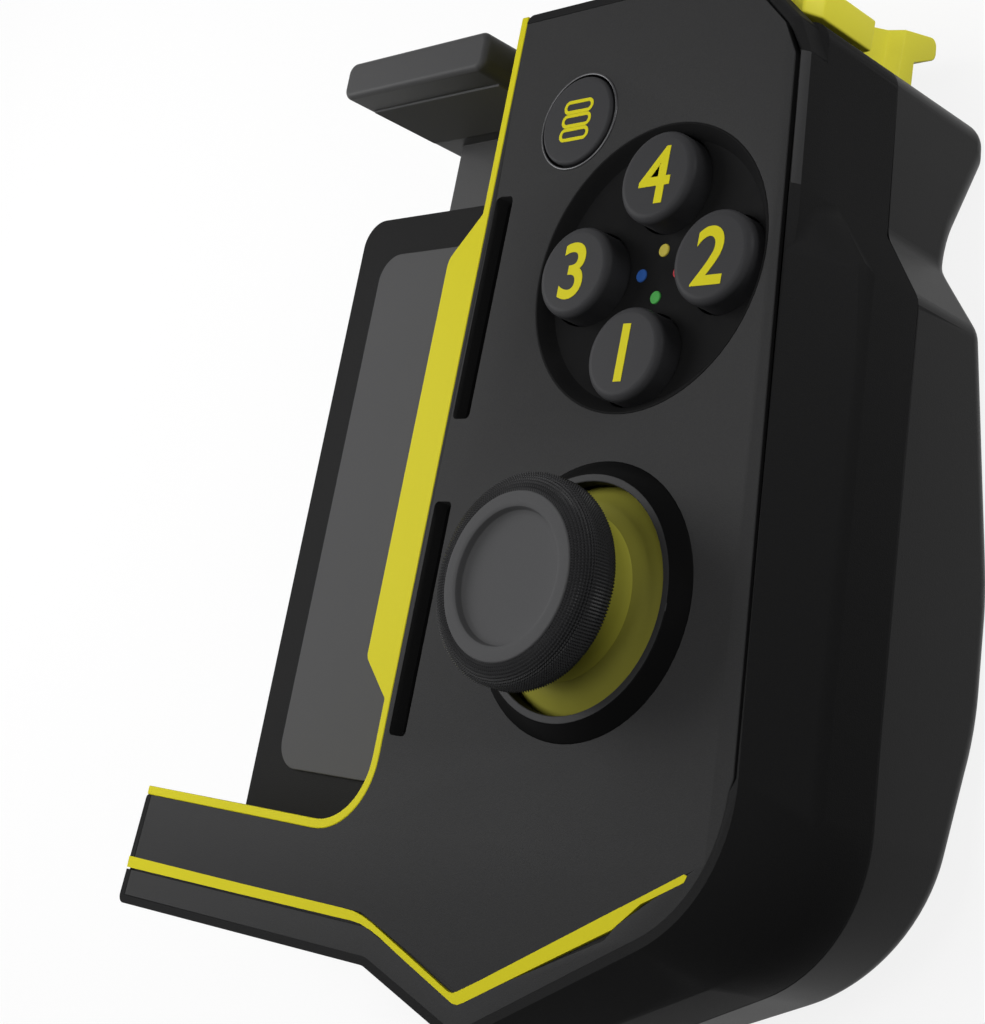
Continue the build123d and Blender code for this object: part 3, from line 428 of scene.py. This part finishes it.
def settle(item, name, body, finish, smooth, stands_for=()):
    """Name a finished mesh, put its object at the origin, and give it its finish and body.

    A piece with no body is left unattached here.
    """
    leave_edit()
    bpy.ops.object.select_all(action="DESELECT")
    item.select_set(True)
    bpy.context.view_layer.objects.active = item
    bpy.ops.object.transform_apply(location=True, rotation=True, scale=True)
    bpy.ops.object.shade_smooth_by_angle(angle=math.radians(smooth))
    item.name = name
    item.data.name = name
    item.data.materials.clear()
    item.data.materials.append(finish)
    if body:
        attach(item, body)
    if stands_for:
        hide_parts(*stands_for)
    print(name, len(item.data.polygons), "faces")


# %% [markdown]
# The two housing halves show long soft edges, and a modifier on their loose triangles can't make
# those: one short edge anywhere holds its width back. So each half is worked by hand on a merged
# copy. Its flat faces are made whole, and its sharp edges that show get a real round. The seam
# between the halves is then two rounds that meet in a fine groove, as on the real thing.

# %% Merged copy
def merged_copy(node, name):
    """A copy of a node's mesh with its loose triangles merged and its flat faces made whole."""
    leave_edit()
    item = bpy.data.objects.new(name, nodes[node].data.copy())
    scene.collection.objects.link(item)
    pick(item, "VERT", lambda co: True)
    bpy.ops.mesh.remove_doubles(threshold=WELD_REACH)
    bpy.ops.mesh.dissolve_limited(angle_limit=FLAT_ANGLE)
    leave_edit()
    return item


# %% Rounding the edges that show
SHORT_EDGE, LIFT, COVER_REACH = 0.6, 0.05, 12


def outer_edges(item, sharper_than, skip=None):
    """The edges of a mesh that are sharper than an angle and that nothing covers."""
    sides = {}
    for face in item.data.polygons:
        for key in face.edge_keys:
            sides.setdefault(key, []).append(face.normal)
    graph = bpy.context.evaluated_depsgraph_get()
    corners = item.data.vertices
    found = set()
    for edge in item.data.edges:
        normals = sides.get(edge.key, [])
        if len(normals) != 2 or normals[0].angle(normals[1], 0) < math.radians(sharper_than):
            continue
        ends = [corners[index].co for index in edge.vertices]
        halfway = (ends[0] + ends[1]) / 2
        if skip and skip(local(halfway)) or (ends[0] - ends[1]).length < SHORT_EDGE * MM:
            continue
        away = (normals[0] + normals[1]).normalized()
        start = halfway + away * LIFT * MM
        if not scene.ray_cast(graph, start, away, distance=COVER_REACH * MM)[0]:
            found.add(edge.index)
    return found


def round_outer(item, radius, sharper_than, skip=None):
    """Round the edges that show and are sharper than an angle, but for those to skip."""
    leave_edit()
    found = outer_edges(item, sharper_than, skip)
    pick(item, "EDGE", lambda a, b: False)
    leave_edit()
    for index in found:
        item.data.edges[index].select = True
    bpy.ops.object.mode_set(mode="EDIT")
    bpy.ops.mesh.bevel(offset=radius * MM, segments=3, affect="EDGES", clamp_overlap=False)
    leave_edit()
    print(item.name, "rounded", len(found), "edges")


def even_normals(item):
    """Let the large faces set the shading, so that flat faces beside small rounds look flat."""
    modifier = item.modifiers.new("normals", "WEIGHTED_NORMAL")
    modifier.keep_sharp = True
    bpy.context.view_layer.objects.active = item
    bpy.ops.object.modifier_apply(modifier=modifier.name)


# %% [markdown]
# The face plate is a separate moulding, set in the front half, and a dark groove runs along its
# right rim. Cutting a groove can leave slivers, so both its sides are moved by hand instead: the
# plate's rim and the shell's strip. The rim is three straight runs. Each is known by a place on it,
# the way it looks, how near counts as on it, and between which heights it lies.

# %% The groove's rim
RIM_RUNS = (
    ((12.12, 17.65), (0.994, 0.113), 0.06, (-42.6, 17.7)),
    ((10.65, 20.25), (0.870, 0.492), 0.06, (17.6, 20.3)),
    ((10.65, 20.25), (0.703, 0.711), 0.12, (20.2, 26.3)),
)


def rim_way(place):
    """Which way the face plate's right rim looks at a place, or nothing off the rim."""
    for (x, y), (way_x, way_y), near, (low_y, high_y) in RIM_RUNS:
        off = (place.x - x) * way_x + (place.y - y) * way_y
        if abs(off) < near and low_y < place.y < high_y:
            return Vector((way_x, way_y, 0))
    return None


def move_rim(item, reach, test):
    """Move the vertices of the rim outwards, each by its own reach."""
    moved = 0
    leave_edit()
    places = [local(v.co) for v in item.data.vertices]
    for index, place in enumerate(places):
        way = rim_way(place)
        if way is None or not test(place):
            continue
        pick(item, "VERT", lambda co: False)
        leave_edit()
        item.data.vertices[index].select = True
        bpy.ops.object.mode_set(mode="EDIT")
        bpy.ops.transform.translate(value=way * reach(place) * MM)
        moved += 1
    leave_edit()
    print(item.name, "rim vertices moved", moved)


# %% [markdown]
# The front half has the hood, its narrow strip and chamfer beside the groove, and the facet that
# flares out to the palm. The strip is moved out to open the groove. The flare's crease is too blunt
# to be found by its angle, so it is picked by its place, and gets a wide round. Three places keep
# their sharp edges, where faces of different slopes meet in short edges: the strip, the corner of
# the hood, and where the hood runs into the flare.

# %% Places on the front half
CLOSE, END_REACH = 0.02, 0.1
CREASE_Z, CREASE_FROM_X, CREASE_Y, CREASE_LONG = -5.9, 19, (-45, 0.1), 5
STRIP_ENDS = ((14.25, 6.0, 0), (12.92, 17.74, 0))
STRIP_OUT_HOOD, STRIP_OUT_FLARE = 0.75, 0.6


def strip_out(place):
    """How far the shell's strip is moved out at a place."""
    return STRIP_OUT_HOOD if place.y > 0 else STRIP_OUT_FLARE


def on_strip_end(co):
    """Whether a vertex is an outer end of the strip."""
    place = local(co)
    near = any((place - Vector(end)).length < END_REACH for end in STRIP_ENDS)
    return near and abs(place.z) < CLOSE


def on_crease(a, b):
    """Whether an edge is part of the crease between the flare and the side."""
    a, b = local(a), local(b)
    low_y, high_y = CREASE_Y
    level = all(abs(p.z - CREASE_Z) < CLOSE for p in (a, b))
    inside = all(p.x > CREASE_FROM_X and low_y < p.y < high_y for p in (a, b))
    return level and inside and (a - b).length > CREASE_LONG


def kept_sharp(place):
    """Whether a place is one of the three where the front half's edges stay sharp."""
    strip = place.z > -0.3
    hood_corner = place.y > 16.8 and place.z > -4
    run_out = abs(place.y - 3.5) < 2.6 and place.z > -7
    return strip or hood_corner or run_out


# %% Front housing
STRIP_WIDER, CREASE_ROUND, EDGE_ROUND = 0.28, 0.9, 0.16
front_housing = merged_copy("front_shell", "front_housing")
move_rim(front_housing, strip_out, lambda p: p.z > -0.05)
pick(front_housing, "VERT", on_strip_end)
bpy.ops.transform.translate(value=(STRIP_WIDER * MM, 0, 0))
print("crease edges", pick(front_housing, "EDGE", on_crease))
bpy.ops.mesh.bevel(offset=CREASE_ROUND * MM, segments=4, affect="EDGES", clamp_overlap=False)
round_outer(front_housing, EDGE_ROUND, 40, skip=kept_sharp)
settle(front_housing, "front_housing", "grip", finishes["shell"], 38, ["front_shell"])
even_normals(front_housing)

# %% [markdown]
# The chamfer and the strip beside the hood catch the light as one pale line. More light there would
# spoil the rest, so their faces get a second, lighter finish.

# %% Lighter chamfer
def second_finish(item, finish, test):
    """Give the faces of a piece whose middle passes a test another finish."""
    item.data.materials.append(finish)
    for face in item.data.polygons:
        if test(local(face.center)):
            face.material_index = 1
    print(finish.name, sum(face.material_index for face in item.data.polygons), "faces")


def on_chamfer(place):
    """Whether a face's middle is on the chamfer or the strip beside the hood."""
    return 12.8 < place.x < 15.2 and 5.9 < place.y < 17.9 and place.z > -0.85


shell_edge = moulded("shell_edge", (0.050, 0.050, 0.051), 0.45, depth=0.01, specular=0.02)
second_finish(front_housing, shell_edge, on_chamfer)

# %% [markdown]
# The rear half is a shell with a filleted hump for the fingers. The fillets come with the solid, so
# only its sharp edges get a round.

# %% Rear housing
rear_housing = merged_copy("rear_shell", "rear_housing")
round_outer(rear_housing, EDGE_ROUND, 50)
settle(
    rear_housing, "rear_housing", "grip", own_finish["rear_shell"], 38, ["rear_shell"]
)
even_normals(rear_housing)

# %% [markdown]
# The plate's rim is moved out over the shell's strip, less far than the strip's own edge, so that
# the groove between them is as wide as it looks. Its edges are rounded but for the round opening
# that the stick's collar fills.

# %% Face plate
PLATE_OUT_HOOD, PLATE_OUT_FLARE, PLATE_ROUND = 0.45, 0.3, 0.1
STICK_X, STICK_Y, COLLAR_ROOM = -0.17, -29.5, 14.5
stick_axis = Vector((STICK_X, STICK_Y))


def plate_out(place):
    """How far the plate's rim is moved out at a place."""
    return PLATE_OUT_HOOD if place.y > 0 else PLATE_OUT_FLARE


face_skin = merged_copy("face_plate", "face_skin")
move_rim(face_skin, plate_out, lambda p: True)
round_outer(face_skin, PLATE_ROUND, 50, lambda p: (p.xy - stick_axis).length < COLLAR_ROOM)
settle(face_skin, "face_skin", "grip", finishes["face"], 30, ["face_plate"])

# %% [markdown]
# A small wedge fills the step where the shell's chamfer turns into the flare. It could be drawn
# face by face, but a tight solid round a few places needs only the places: one vertex is extruded
# from each to the next, and a hull is put round them.

# %% Rim wedge
def drawn_line(places):
    """A chain of edges through places, extruded from one vertex, all of it selected."""
    leave_edit()
    bpy.ops.object.select_all(action="DESELECT")
    bpy.ops.mesh.primitive_plane_add(size=MM, location=(0, 0, 0))
    item = bpy.context.active_object
    bpy.ops.object.mode_set(mode="EDIT")
    bpy.ops.mesh.select_mode(type="VERT")
    bpy.ops.mesh.select_all(action="SELECT")
    bpy.ops.mesh.merge(type="CENTER")
    bpy.ops.transform.translate(value=at(*places[0]))
    for here, there in zip(places, places[1:]):
        step = at(*there) - at(*here)
        bpy.ops.mesh.extrude_region_move(TRANSFORM_OT_translate={"value": step})
    bpy.ops.mesh.select_all(action="SELECT")
    return item


def hull_piece(places):
    """The tight solid round a few places."""
    item = drawn_line(places)
    bpy.ops.mesh.convex_hull()
    return item


rim_wedge = hull_piece([
    (14.52, 6.02, 0.0), (15.01, 6.02, -0.74), (14.3, 6.0, -0.8), (15.33, 1.1, -0.8),
    (14.95, 0.0, 0.0), (14.6, 3.0, -0.6), (15.22, 3.5, -0.95),
])
settle(rim_wedge, "rim_wedge", "grip", finishes["shell"], 30)

# %% [markdown]
# The thumb cap is a turned piece: a ring of vertices is drawn along its outline by extruding it and
# scaling it about the stick's axis. A flat ring surrounds a shallow dish. The rounded edge is cut
# with fine teeth in rows, here every second vertex of every second ring, raised along its normal.
# The teeth and everything below them have a darker, glossier finish than the ring and the dish: the
# darker colour is painted shade, for the shade among the teeth and under the rim.

# %% Turned pieces
JUST_UNDER = 0.99


def turned_piece(outline, x, y, steps):
    """A round piece: a ring extruded and scaled along an outline of radius and height."""
    leave_edit()
    bpy.ops.object.select_all(action="DESELECT")
    bpy.ops.mesh.primitive_circle_add(
        vertices=steps, radius=outline[0][0] * MM, fill_type="TRIFAN",
        location=at(x, y, outline[0][1]),
    )
    item = bpy.context.active_object
    bpy.ops.object.transform_apply(location=True, rotation=True, scale=True)
    rim = outline[0][0] * MM * JUST_UNDER
    axis = at(x, y)
    pick(item, "VERT", lambda co: (co.xy - axis.xy).length > rim)
    for (r0, z0), (r1, z1) in zip(outline, outline[1:]):
        bpy.ops.mesh.extrude_region_move(TRANSFORM_OT_translate={"value": (0, 0, (z1 - z0) * MM)})
        grow = r1 / r0
        bpy.ops.transform.resize(value=(grow, grow, 1), center_override=at(x, y, z1))
    bpy.ops.mesh.edge_face_add()
    bpy.ops.mesh.poke()
    bpy.ops.mesh.select_all(action="SELECT")
    bpy.ops.mesh.normals_make_consistent(inside=False)
    return item


# %% Thumb cap's outline
EDGE_R, EDGE_TOP, EDGE_FOOT = 8.91, 7.75, 6.40
OVER_WIDE, OVER_TALL, OVER_ROWS = 1.65, 1.20, 17
UNDER_WIDE, UNDER_TALL, UNDER_ROWS = 1.45, 1.40, 15
SIDE_ROWS, TOOTH_PITCH = 10, 0.135
dish_outline = [
    (0.9, 8.20), (2.4, 8.21), (3.8, 8.24), (4.7, 8.29), (5.2, 8.35), (5.48, 8.43),
    (5.64, 8.56), (5.72, 8.74), (5.77, 8.94), (5.84, 9.08), (5.98, 9.15), (6.2, 9.17),
    (6.9, 9.17), (7.06, 9.155), (7.14, 9.10), (7.18, 9.00),
]
tooth_outline = []
for step in range(1, OVER_ROWS):
    turn = math.radians(90 * step / OVER_ROWS)
    reach = EDGE_R - OVER_WIDE * (1 - math.sin(turn))
    tooth_outline.append((reach, EDGE_TOP + OVER_TALL * math.cos(turn)))
tooth_outline += [(EDGE_R, EDGE_TOP - TOOTH_PITCH * step) for step in range(SIDE_ROWS)]
for step in range(1, UNDER_ROWS):
    turn = math.radians(90 * step / UNDER_ROWS)
    reach = EDGE_R - UNDER_WIDE * (1 - math.cos(turn))
    tooth_outline.append((reach, EDGE_FOOT - UNDER_TALL * math.sin(turn)))
foot_outline = [(7.2, 4.97), (4.2, 4.97)]
cap_outline = dish_outline + tooth_outline + foot_outline
print("cap outline", len(cap_outline), "places")

# %% Thumb cap
CAP_STEPS, TOOTH_HEIGHT = 400, 0.18
ROW_CLOSE, TEETH_FROM_R = 0.003, 7.3
thumb_cap = turned_piece(cap_outline, STICK_X, STICK_Y, CAP_STEPS)
tooth_heights = [height for _, height in tooth_outline[::2]]


def on_tooth(co):
    """Whether a vertex is the tip of a tooth."""
    place = local(co) - Vector((STICK_X, STICK_Y, 0))
    off_row = min(abs(place.z - height) for height in tooth_heights) > ROW_CLOSE
    if off_row or place.xy.length < TEETH_FROM_R:
        return False
    column = math.degrees(math.atan2(place.y, place.x)) / (360 / CAP_STEPS)
    return round(column) % 2 == 0


print("teeth", pick(thumb_cap, "VERT", on_tooth))
bpy.ops.transform.shrink_fatten(value=TOOTH_HEIGHT * MM)
settle(thumb_cap, "thumb_cap", "stick", finishes["grip_rubber"], 24, ["stick_cap"])

# %% Darker teeth, painted shade
# Painted shade: the teeth and the cap below them get a darker rubber, for the shade among the teeth.
KNURL_R, KNURL_TOP = 7.19, 8
teeth_painted_shade = moulded(
    "knurl_rubber_painted_shade", (0.017, 0.017, 0.018), 0.35, grain=0.08, depth=0.004, specular=0.12
)
second_finish(thumb_cap, teeth_painted_shade, lambda p: (p.xy - stick_axis).length > KNURL_R or p.z < KNURL_TOP)

# %% [markdown]
# Between the cap and the dome the stem widens in a smooth skirt. It is turned in the same way.

# %% Stem skirt
skirt_outline = [
    (4.0, 4.96), (5.1, 4.95), (5.2, 4.55), (5.36, 4.1), (5.6, 3.6), (5.9, 3.15),
    (6.3, 2.72), (6.75, 2.36), (7.15, 2.08), (7.3, 1.85), (4.0, 1.7),
]
stem_skirt = turned_piece(skirt_outline, STICK_X, STICK_Y, 96)
settle(stem_skirt, "stem_skirt", "stick", own_finish["stick_stem"], 40)

# %% [markdown]
# The collar round the stick is a turned ring, black on its cone. Its narrow flat top is painted a
# lighter grey, a painted highlight for the light it catches. The imported solid has the right shape
# already, so only that edge's faces are changed.

# %% Collar
COLLAR_TOP = 1.27
# Painted highlight: the collar's flat top gets a lighter grey, for the light it catches.
collar_painted_highlight = moulded("collar_painted_highlight", (0.030, 0.030, 0.031), 0.4, depth=0.004, specular=0.05)
second_finish(nodes["stick_collar"], collar_painted_highlight, lambda p: p.z > COLLAR_TOP)

# %% [markdown]
# The marks on the keys are printed in the accent colour. A plain digit is set as text, made a mesh,
# and only then moved to its key. It is a film four hundredths of a millimetre proud of the key.

# %% Marks on the keys
TEXT_SIZE, TEXT_BOLDER, FILM = 7.3, 0.10, 0.04


def digit(text, key, body):
    """A digit in the middle of a key's top."""
    leave_edit()
    bpy.ops.object.select_all(action="DESELECT")
    bpy.ops.object.text_add(location=(0, 0, 0))
    item = bpy.context.active_object
    item.data.body = text
    item.data.size = TEXT_SIZE * MM
    item.data.align_x = "CENTER"
    item.data.align_y = "CENTER"
    item.data.offset = TEXT_BOLDER * MM
    item.data.extrude = FILM * MM
    item.data.resolution_u = 8
    bpy.ops.object.convert(target="MESH")
    item = bpy.context.active_object
    corners = [v.co.copy() for v in item.data.vertices]
    low = Vector([min(c[i] for c in corners) for i in range(3)])
    high = Vector([max(c[i] for c in corners) for i in range(3)])
    key_low, key_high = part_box(key)
    place = Vector(((key_low.x + key_high.x) / 2, (key_low.y + key_high.y) / 2, key_high.z))
    item.location = place - (low + high) / 2
    print(text, "tall", round((high.y - low.y) / MM, 2), "wide", round((high.x - low.x) / MM, 2))
    settle(item, "digit_" + text, body, finishes["accent"], 30)


for text, side in (("1", "bottom"), ("2", "right"), ("3", "left"), ("4", "top")):
    digit(text, "button_" + side, "key_" + side)

# %% [markdown]
# The menu key's mark is a pile of three rounded bars, drawn as outlines. Each starts as a plane
# whose corners are bevelled round. The plane is inset, its middle is deleted, and the frame that is
# left is given its thickness.

# %% Menu mark
BAR_WIDE, BAR_TALL, BAR_LINE, BAR_PITCH, BAR_SUNK = 3.7, 1.34, 0.34, 1.36, 0.01


def bar_outline(x, y, top):
    """A rounded bar in outline, as a thin raised frame."""
    leave_edit()
    bpy.ops.object.select_all(action="DESELECT")
    bpy.ops.mesh.primitive_plane_add(size=1, location=at(x, y, top))
    item = bpy.context.active_object
    item.scale = (BAR_WIDE * MM, BAR_TALL * MM, 1)
    bpy.ops.object.transform_apply(location=True, rotation=True, scale=True)
    pick(item, "VERT", lambda co: True)
    bpy.ops.mesh.bevel(offset=BAR_TALL * 0.49 * MM, segments=8, affect="VERTICES")
    pick(item, "FACE", lambda middle, normal: True)
    bpy.ops.mesh.inset(thickness=BAR_LINE * MM)
    bpy.ops.mesh.delete(type="FACE")
    bpy.ops.mesh.select_all(action="SELECT")
    bpy.ops.mesh.extrude_region_move(TRANSFORM_OT_translate={"value": (0, 0, FILM * MM)})
    bpy.ops.mesh.select_all(action="SELECT")
    bpy.ops.mesh.normals_make_consistent(inside=False)
    leave_edit()
    return item


menu_low, menu_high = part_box("menu_button")
menu_middle = local((menu_low + menu_high) / 2)
menu_top = local(menu_high).z
bars = [
    bar_outline(menu_middle.x, menu_middle.y + step * BAR_PITCH, menu_top - BAR_SUNK)
    for step in (-1, 0, 1)
]
bpy.ops.object.select_all(action="DESELECT")
for bar in bars:
    bar.select_set(True)
bpy.context.view_layer.objects.active = bars[0]
bpy.ops.object.join()
settle(bars[0], "menu_mark", "menu_key", finishes["accent"], 30)

# %% [markdown]
# The yellow line on the face is an inlay. Its outline is walked round from the arm's end: the thin
# arm line, the thin slope to the chin, and the broad stroke that narrows and ends at the side. It
# is made from one vertex, extruded from place to place and filled, and stands barely proud.

# %% Accent line
LINE_FOOT, LINE_THICK, ARM_GAP = -0.3, 0.33, 0.02
line_outline = [
    (-58.05, -58.77), (-38.4, -58.77), (-22.9, -58.69), (-21.2, -58.72), (-19.9, -58.93),
    (-18.4, -59.34), (-17.1, -59.80), (-11.2, -61.83), (-8.3, -62.86), (-7.15, -63.25),
    (-6.6, -63.29), (-6.0, -63.02), (-3.6, -61.68), (8.35, -54.65), (12.1, -52.47),
    (16.1, -50.12), (16.42, -50.22), (16.22, -50.75), (12.3, -52.96), (9.8, -55.35),
    (0.8, -60.44), (-5.1, -63.8), (-5.75, -64.1), (-6.4, -64.1), (-8.05, -63.53),
    (-13.9, -61.5), (-17.0, -60.38), (-18.45, -59.95), (-20.0, -59.64), (-21.4, -59.57),
    (-22.8, -59.6), (-38.1, -59.75), (-58.05, -59.9),
]
arm_low = local(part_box("accent_stripe")[0]).x
accent_line = drawn_line([(max(x, arm_low + ARM_GAP), y, LINE_FOOT) for x, y in line_outline])
bpy.ops.mesh.edge_face_add()
bpy.ops.mesh.extrude_region_move(TRANSFORM_OT_translate={"value": (0, 0, LINE_THICK * MM)})
bpy.ops.mesh.select_all(action="SELECT")
bpy.ops.mesh.quads_convert_to_tris()
bpy.ops.mesh.normals_make_consistent(inside=False)
settle(accent_line, "accent_line", "grip", finishes["accent"], 30, ["accent_stripe"])

# %% [markdown]
# The bumper's outer end is a crisp block: its front outer edge is one wide bright chamfer, and its
# lower edge lies close above the housing's shoulder. The block is the tight solid round three
# outlines, one behind the other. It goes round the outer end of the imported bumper, which keeps its
# pin, post and lugs.

# %% Bumper end
def round_all(item, radius, sharper_than):
    """Round every edge of a finished mesh that is sharper than an angle."""
    leave_edit()
    bevel = item.modifiers.new("round", "BEVEL")
    bevel.width = radius * MM
    bevel.segments = 3
    bevel.limit_method = "ANGLE"
    bevel.angle_limit = math.radians(sharper_than)
    bpy.ops.object.modifier_apply(modifier=bevel.name)


BLOCK_BACK, CHAMFER_BACK, BLOCK_FRONT, BLOCK_ROUND = -12.03, -4.9, -3.2, 0.22
bumper_inner = [(-11.4, 23.62), (6.9, 28.0), (-3.75, 29.72), (-11.4, 29.72)]
bumper_outer, bumper_slim = [(10.6, 23.28), (10.6, 26.2)], [(9.7, 23.29), (9.7, 26.5)]


def block_outline(corners, z):
    """The block's outline with its two outer corners, at a depth."""
    first, *rest = bumper_inner
    return [(x, y, z) for x, y in (first, *corners, *rest)]


bumper_end = hull_piece(
    block_outline(bumper_outer, BLOCK_BACK) + block_outline(bumper_outer, CHAMFER_BACK)
    + block_outline(bumper_slim, BLOCK_FRONT)
)
pick(bumper_end, "FACE", lambda middle, normal: True)
bpy.ops.mesh.dissolve_limited(angle_limit=math.radians(1))
round_all(bumper_end, BLOCK_ROUND, 20)
settle(bumper_end, "bumper_end", "bumper_lever", own_finish["bumper"], 30)

# %% [markdown]
# The trigger's outer end is stepped: near the housing it lies further in, and only the finger's
# part is full width. Two bisecting cuts on a merged copy mark the step, and the part in front of
# them is moved in.

# %% Trigger
STEP_LOW, STEP_HIGH, STEP_IN, TRIGGER_ROUND = -19.1, -18.1, 1.2, 0.35


def before_step(co):
    """Whether a vertex is on the outer side, in front of the step."""
    place = local(co)
    return place.x > 6.9 and place.z > STEP_HIGH - 0.1


trigger_form = merged_copy("trigger", "trigger_form")
for cut_z in (STEP_LOW, STEP_HIGH):
    pick(trigger_form, "FACE", lambda middle, normal: True)
    bpy.ops.mesh.bisect(plane_co=at(0, 0, cut_z), plane_no=(0, 0, 1))
print("stepped in", pick(trigger_form, "VERT", before_step))
bpy.ops.transform.translate(value=(-STEP_IN * MM, 0, 0))
round_all(trigger_form, TRIGGER_ROUND, 45)
settle(
    trigger_form, "trigger_form", "trigger_lever", own_finish["trigger"], 35, ["trigger"]
)

# %% [markdown]
# The clamp is pulled shut by a wound spring in the channel of the back plate. It is one wire on a
# helix: a small circle, screwed along the spring's axis. One end is held by the jaw and the other
# by the back plate, so it is attached to neither body here.

# %% Clamp spring
WIRE, TURNS, TURN_STEPS, PLAY = 0.3, 26, 14, 0.02
low, high = (local(Vector(corner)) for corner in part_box("clamp_spring"))
leave_edit()
bpy.ops.object.select_all(action="DESELECT")
bpy.ops.mesh.primitive_circle_add(
    vertices=8, radius=WIRE * MM,
    location=at((low.x + high.x) / 2, low.y + WIRE + PLAY / 2, (low.z + high.z) / 2),
)
spring_coil = bpy.context.active_object
bpy.ops.object.mode_set(mode="EDIT")
bpy.ops.mesh.select_all(action="SELECT")
bpy.ops.transform.translate(value=(((high.x - low.x) / 2 - WIRE - PLAY) * MM, 0, 0))
leave_edit()
screw = spring_coil.modifiers.new("coil", "SCREW")
screw.axis = "Y"
screw.angle = math.tau * TURNS
screw.screw_offset = (high.y - low.y - 2 * WIRE - PLAY) * MM
screw.steps = screw.render_steps = TURNS * TURN_STEPS
bpy.ops.object.modifier_apply(modifier=screw.name)
bpy.ops.object.mode_set(mode="EDIT")
bpy.ops.mesh.select_all(action="SELECT")
bpy.ops.mesh.fill_holes(sides=8)
bpy.ops.mesh.normals_make_consistent(inside=False)
spring_slot = slot_of["clamp_spring"]
settle(
    spring_coil, "spring_coil", None, finishes[spring_slot], 40, ["clamp_spring"]
)
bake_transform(spring_coil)
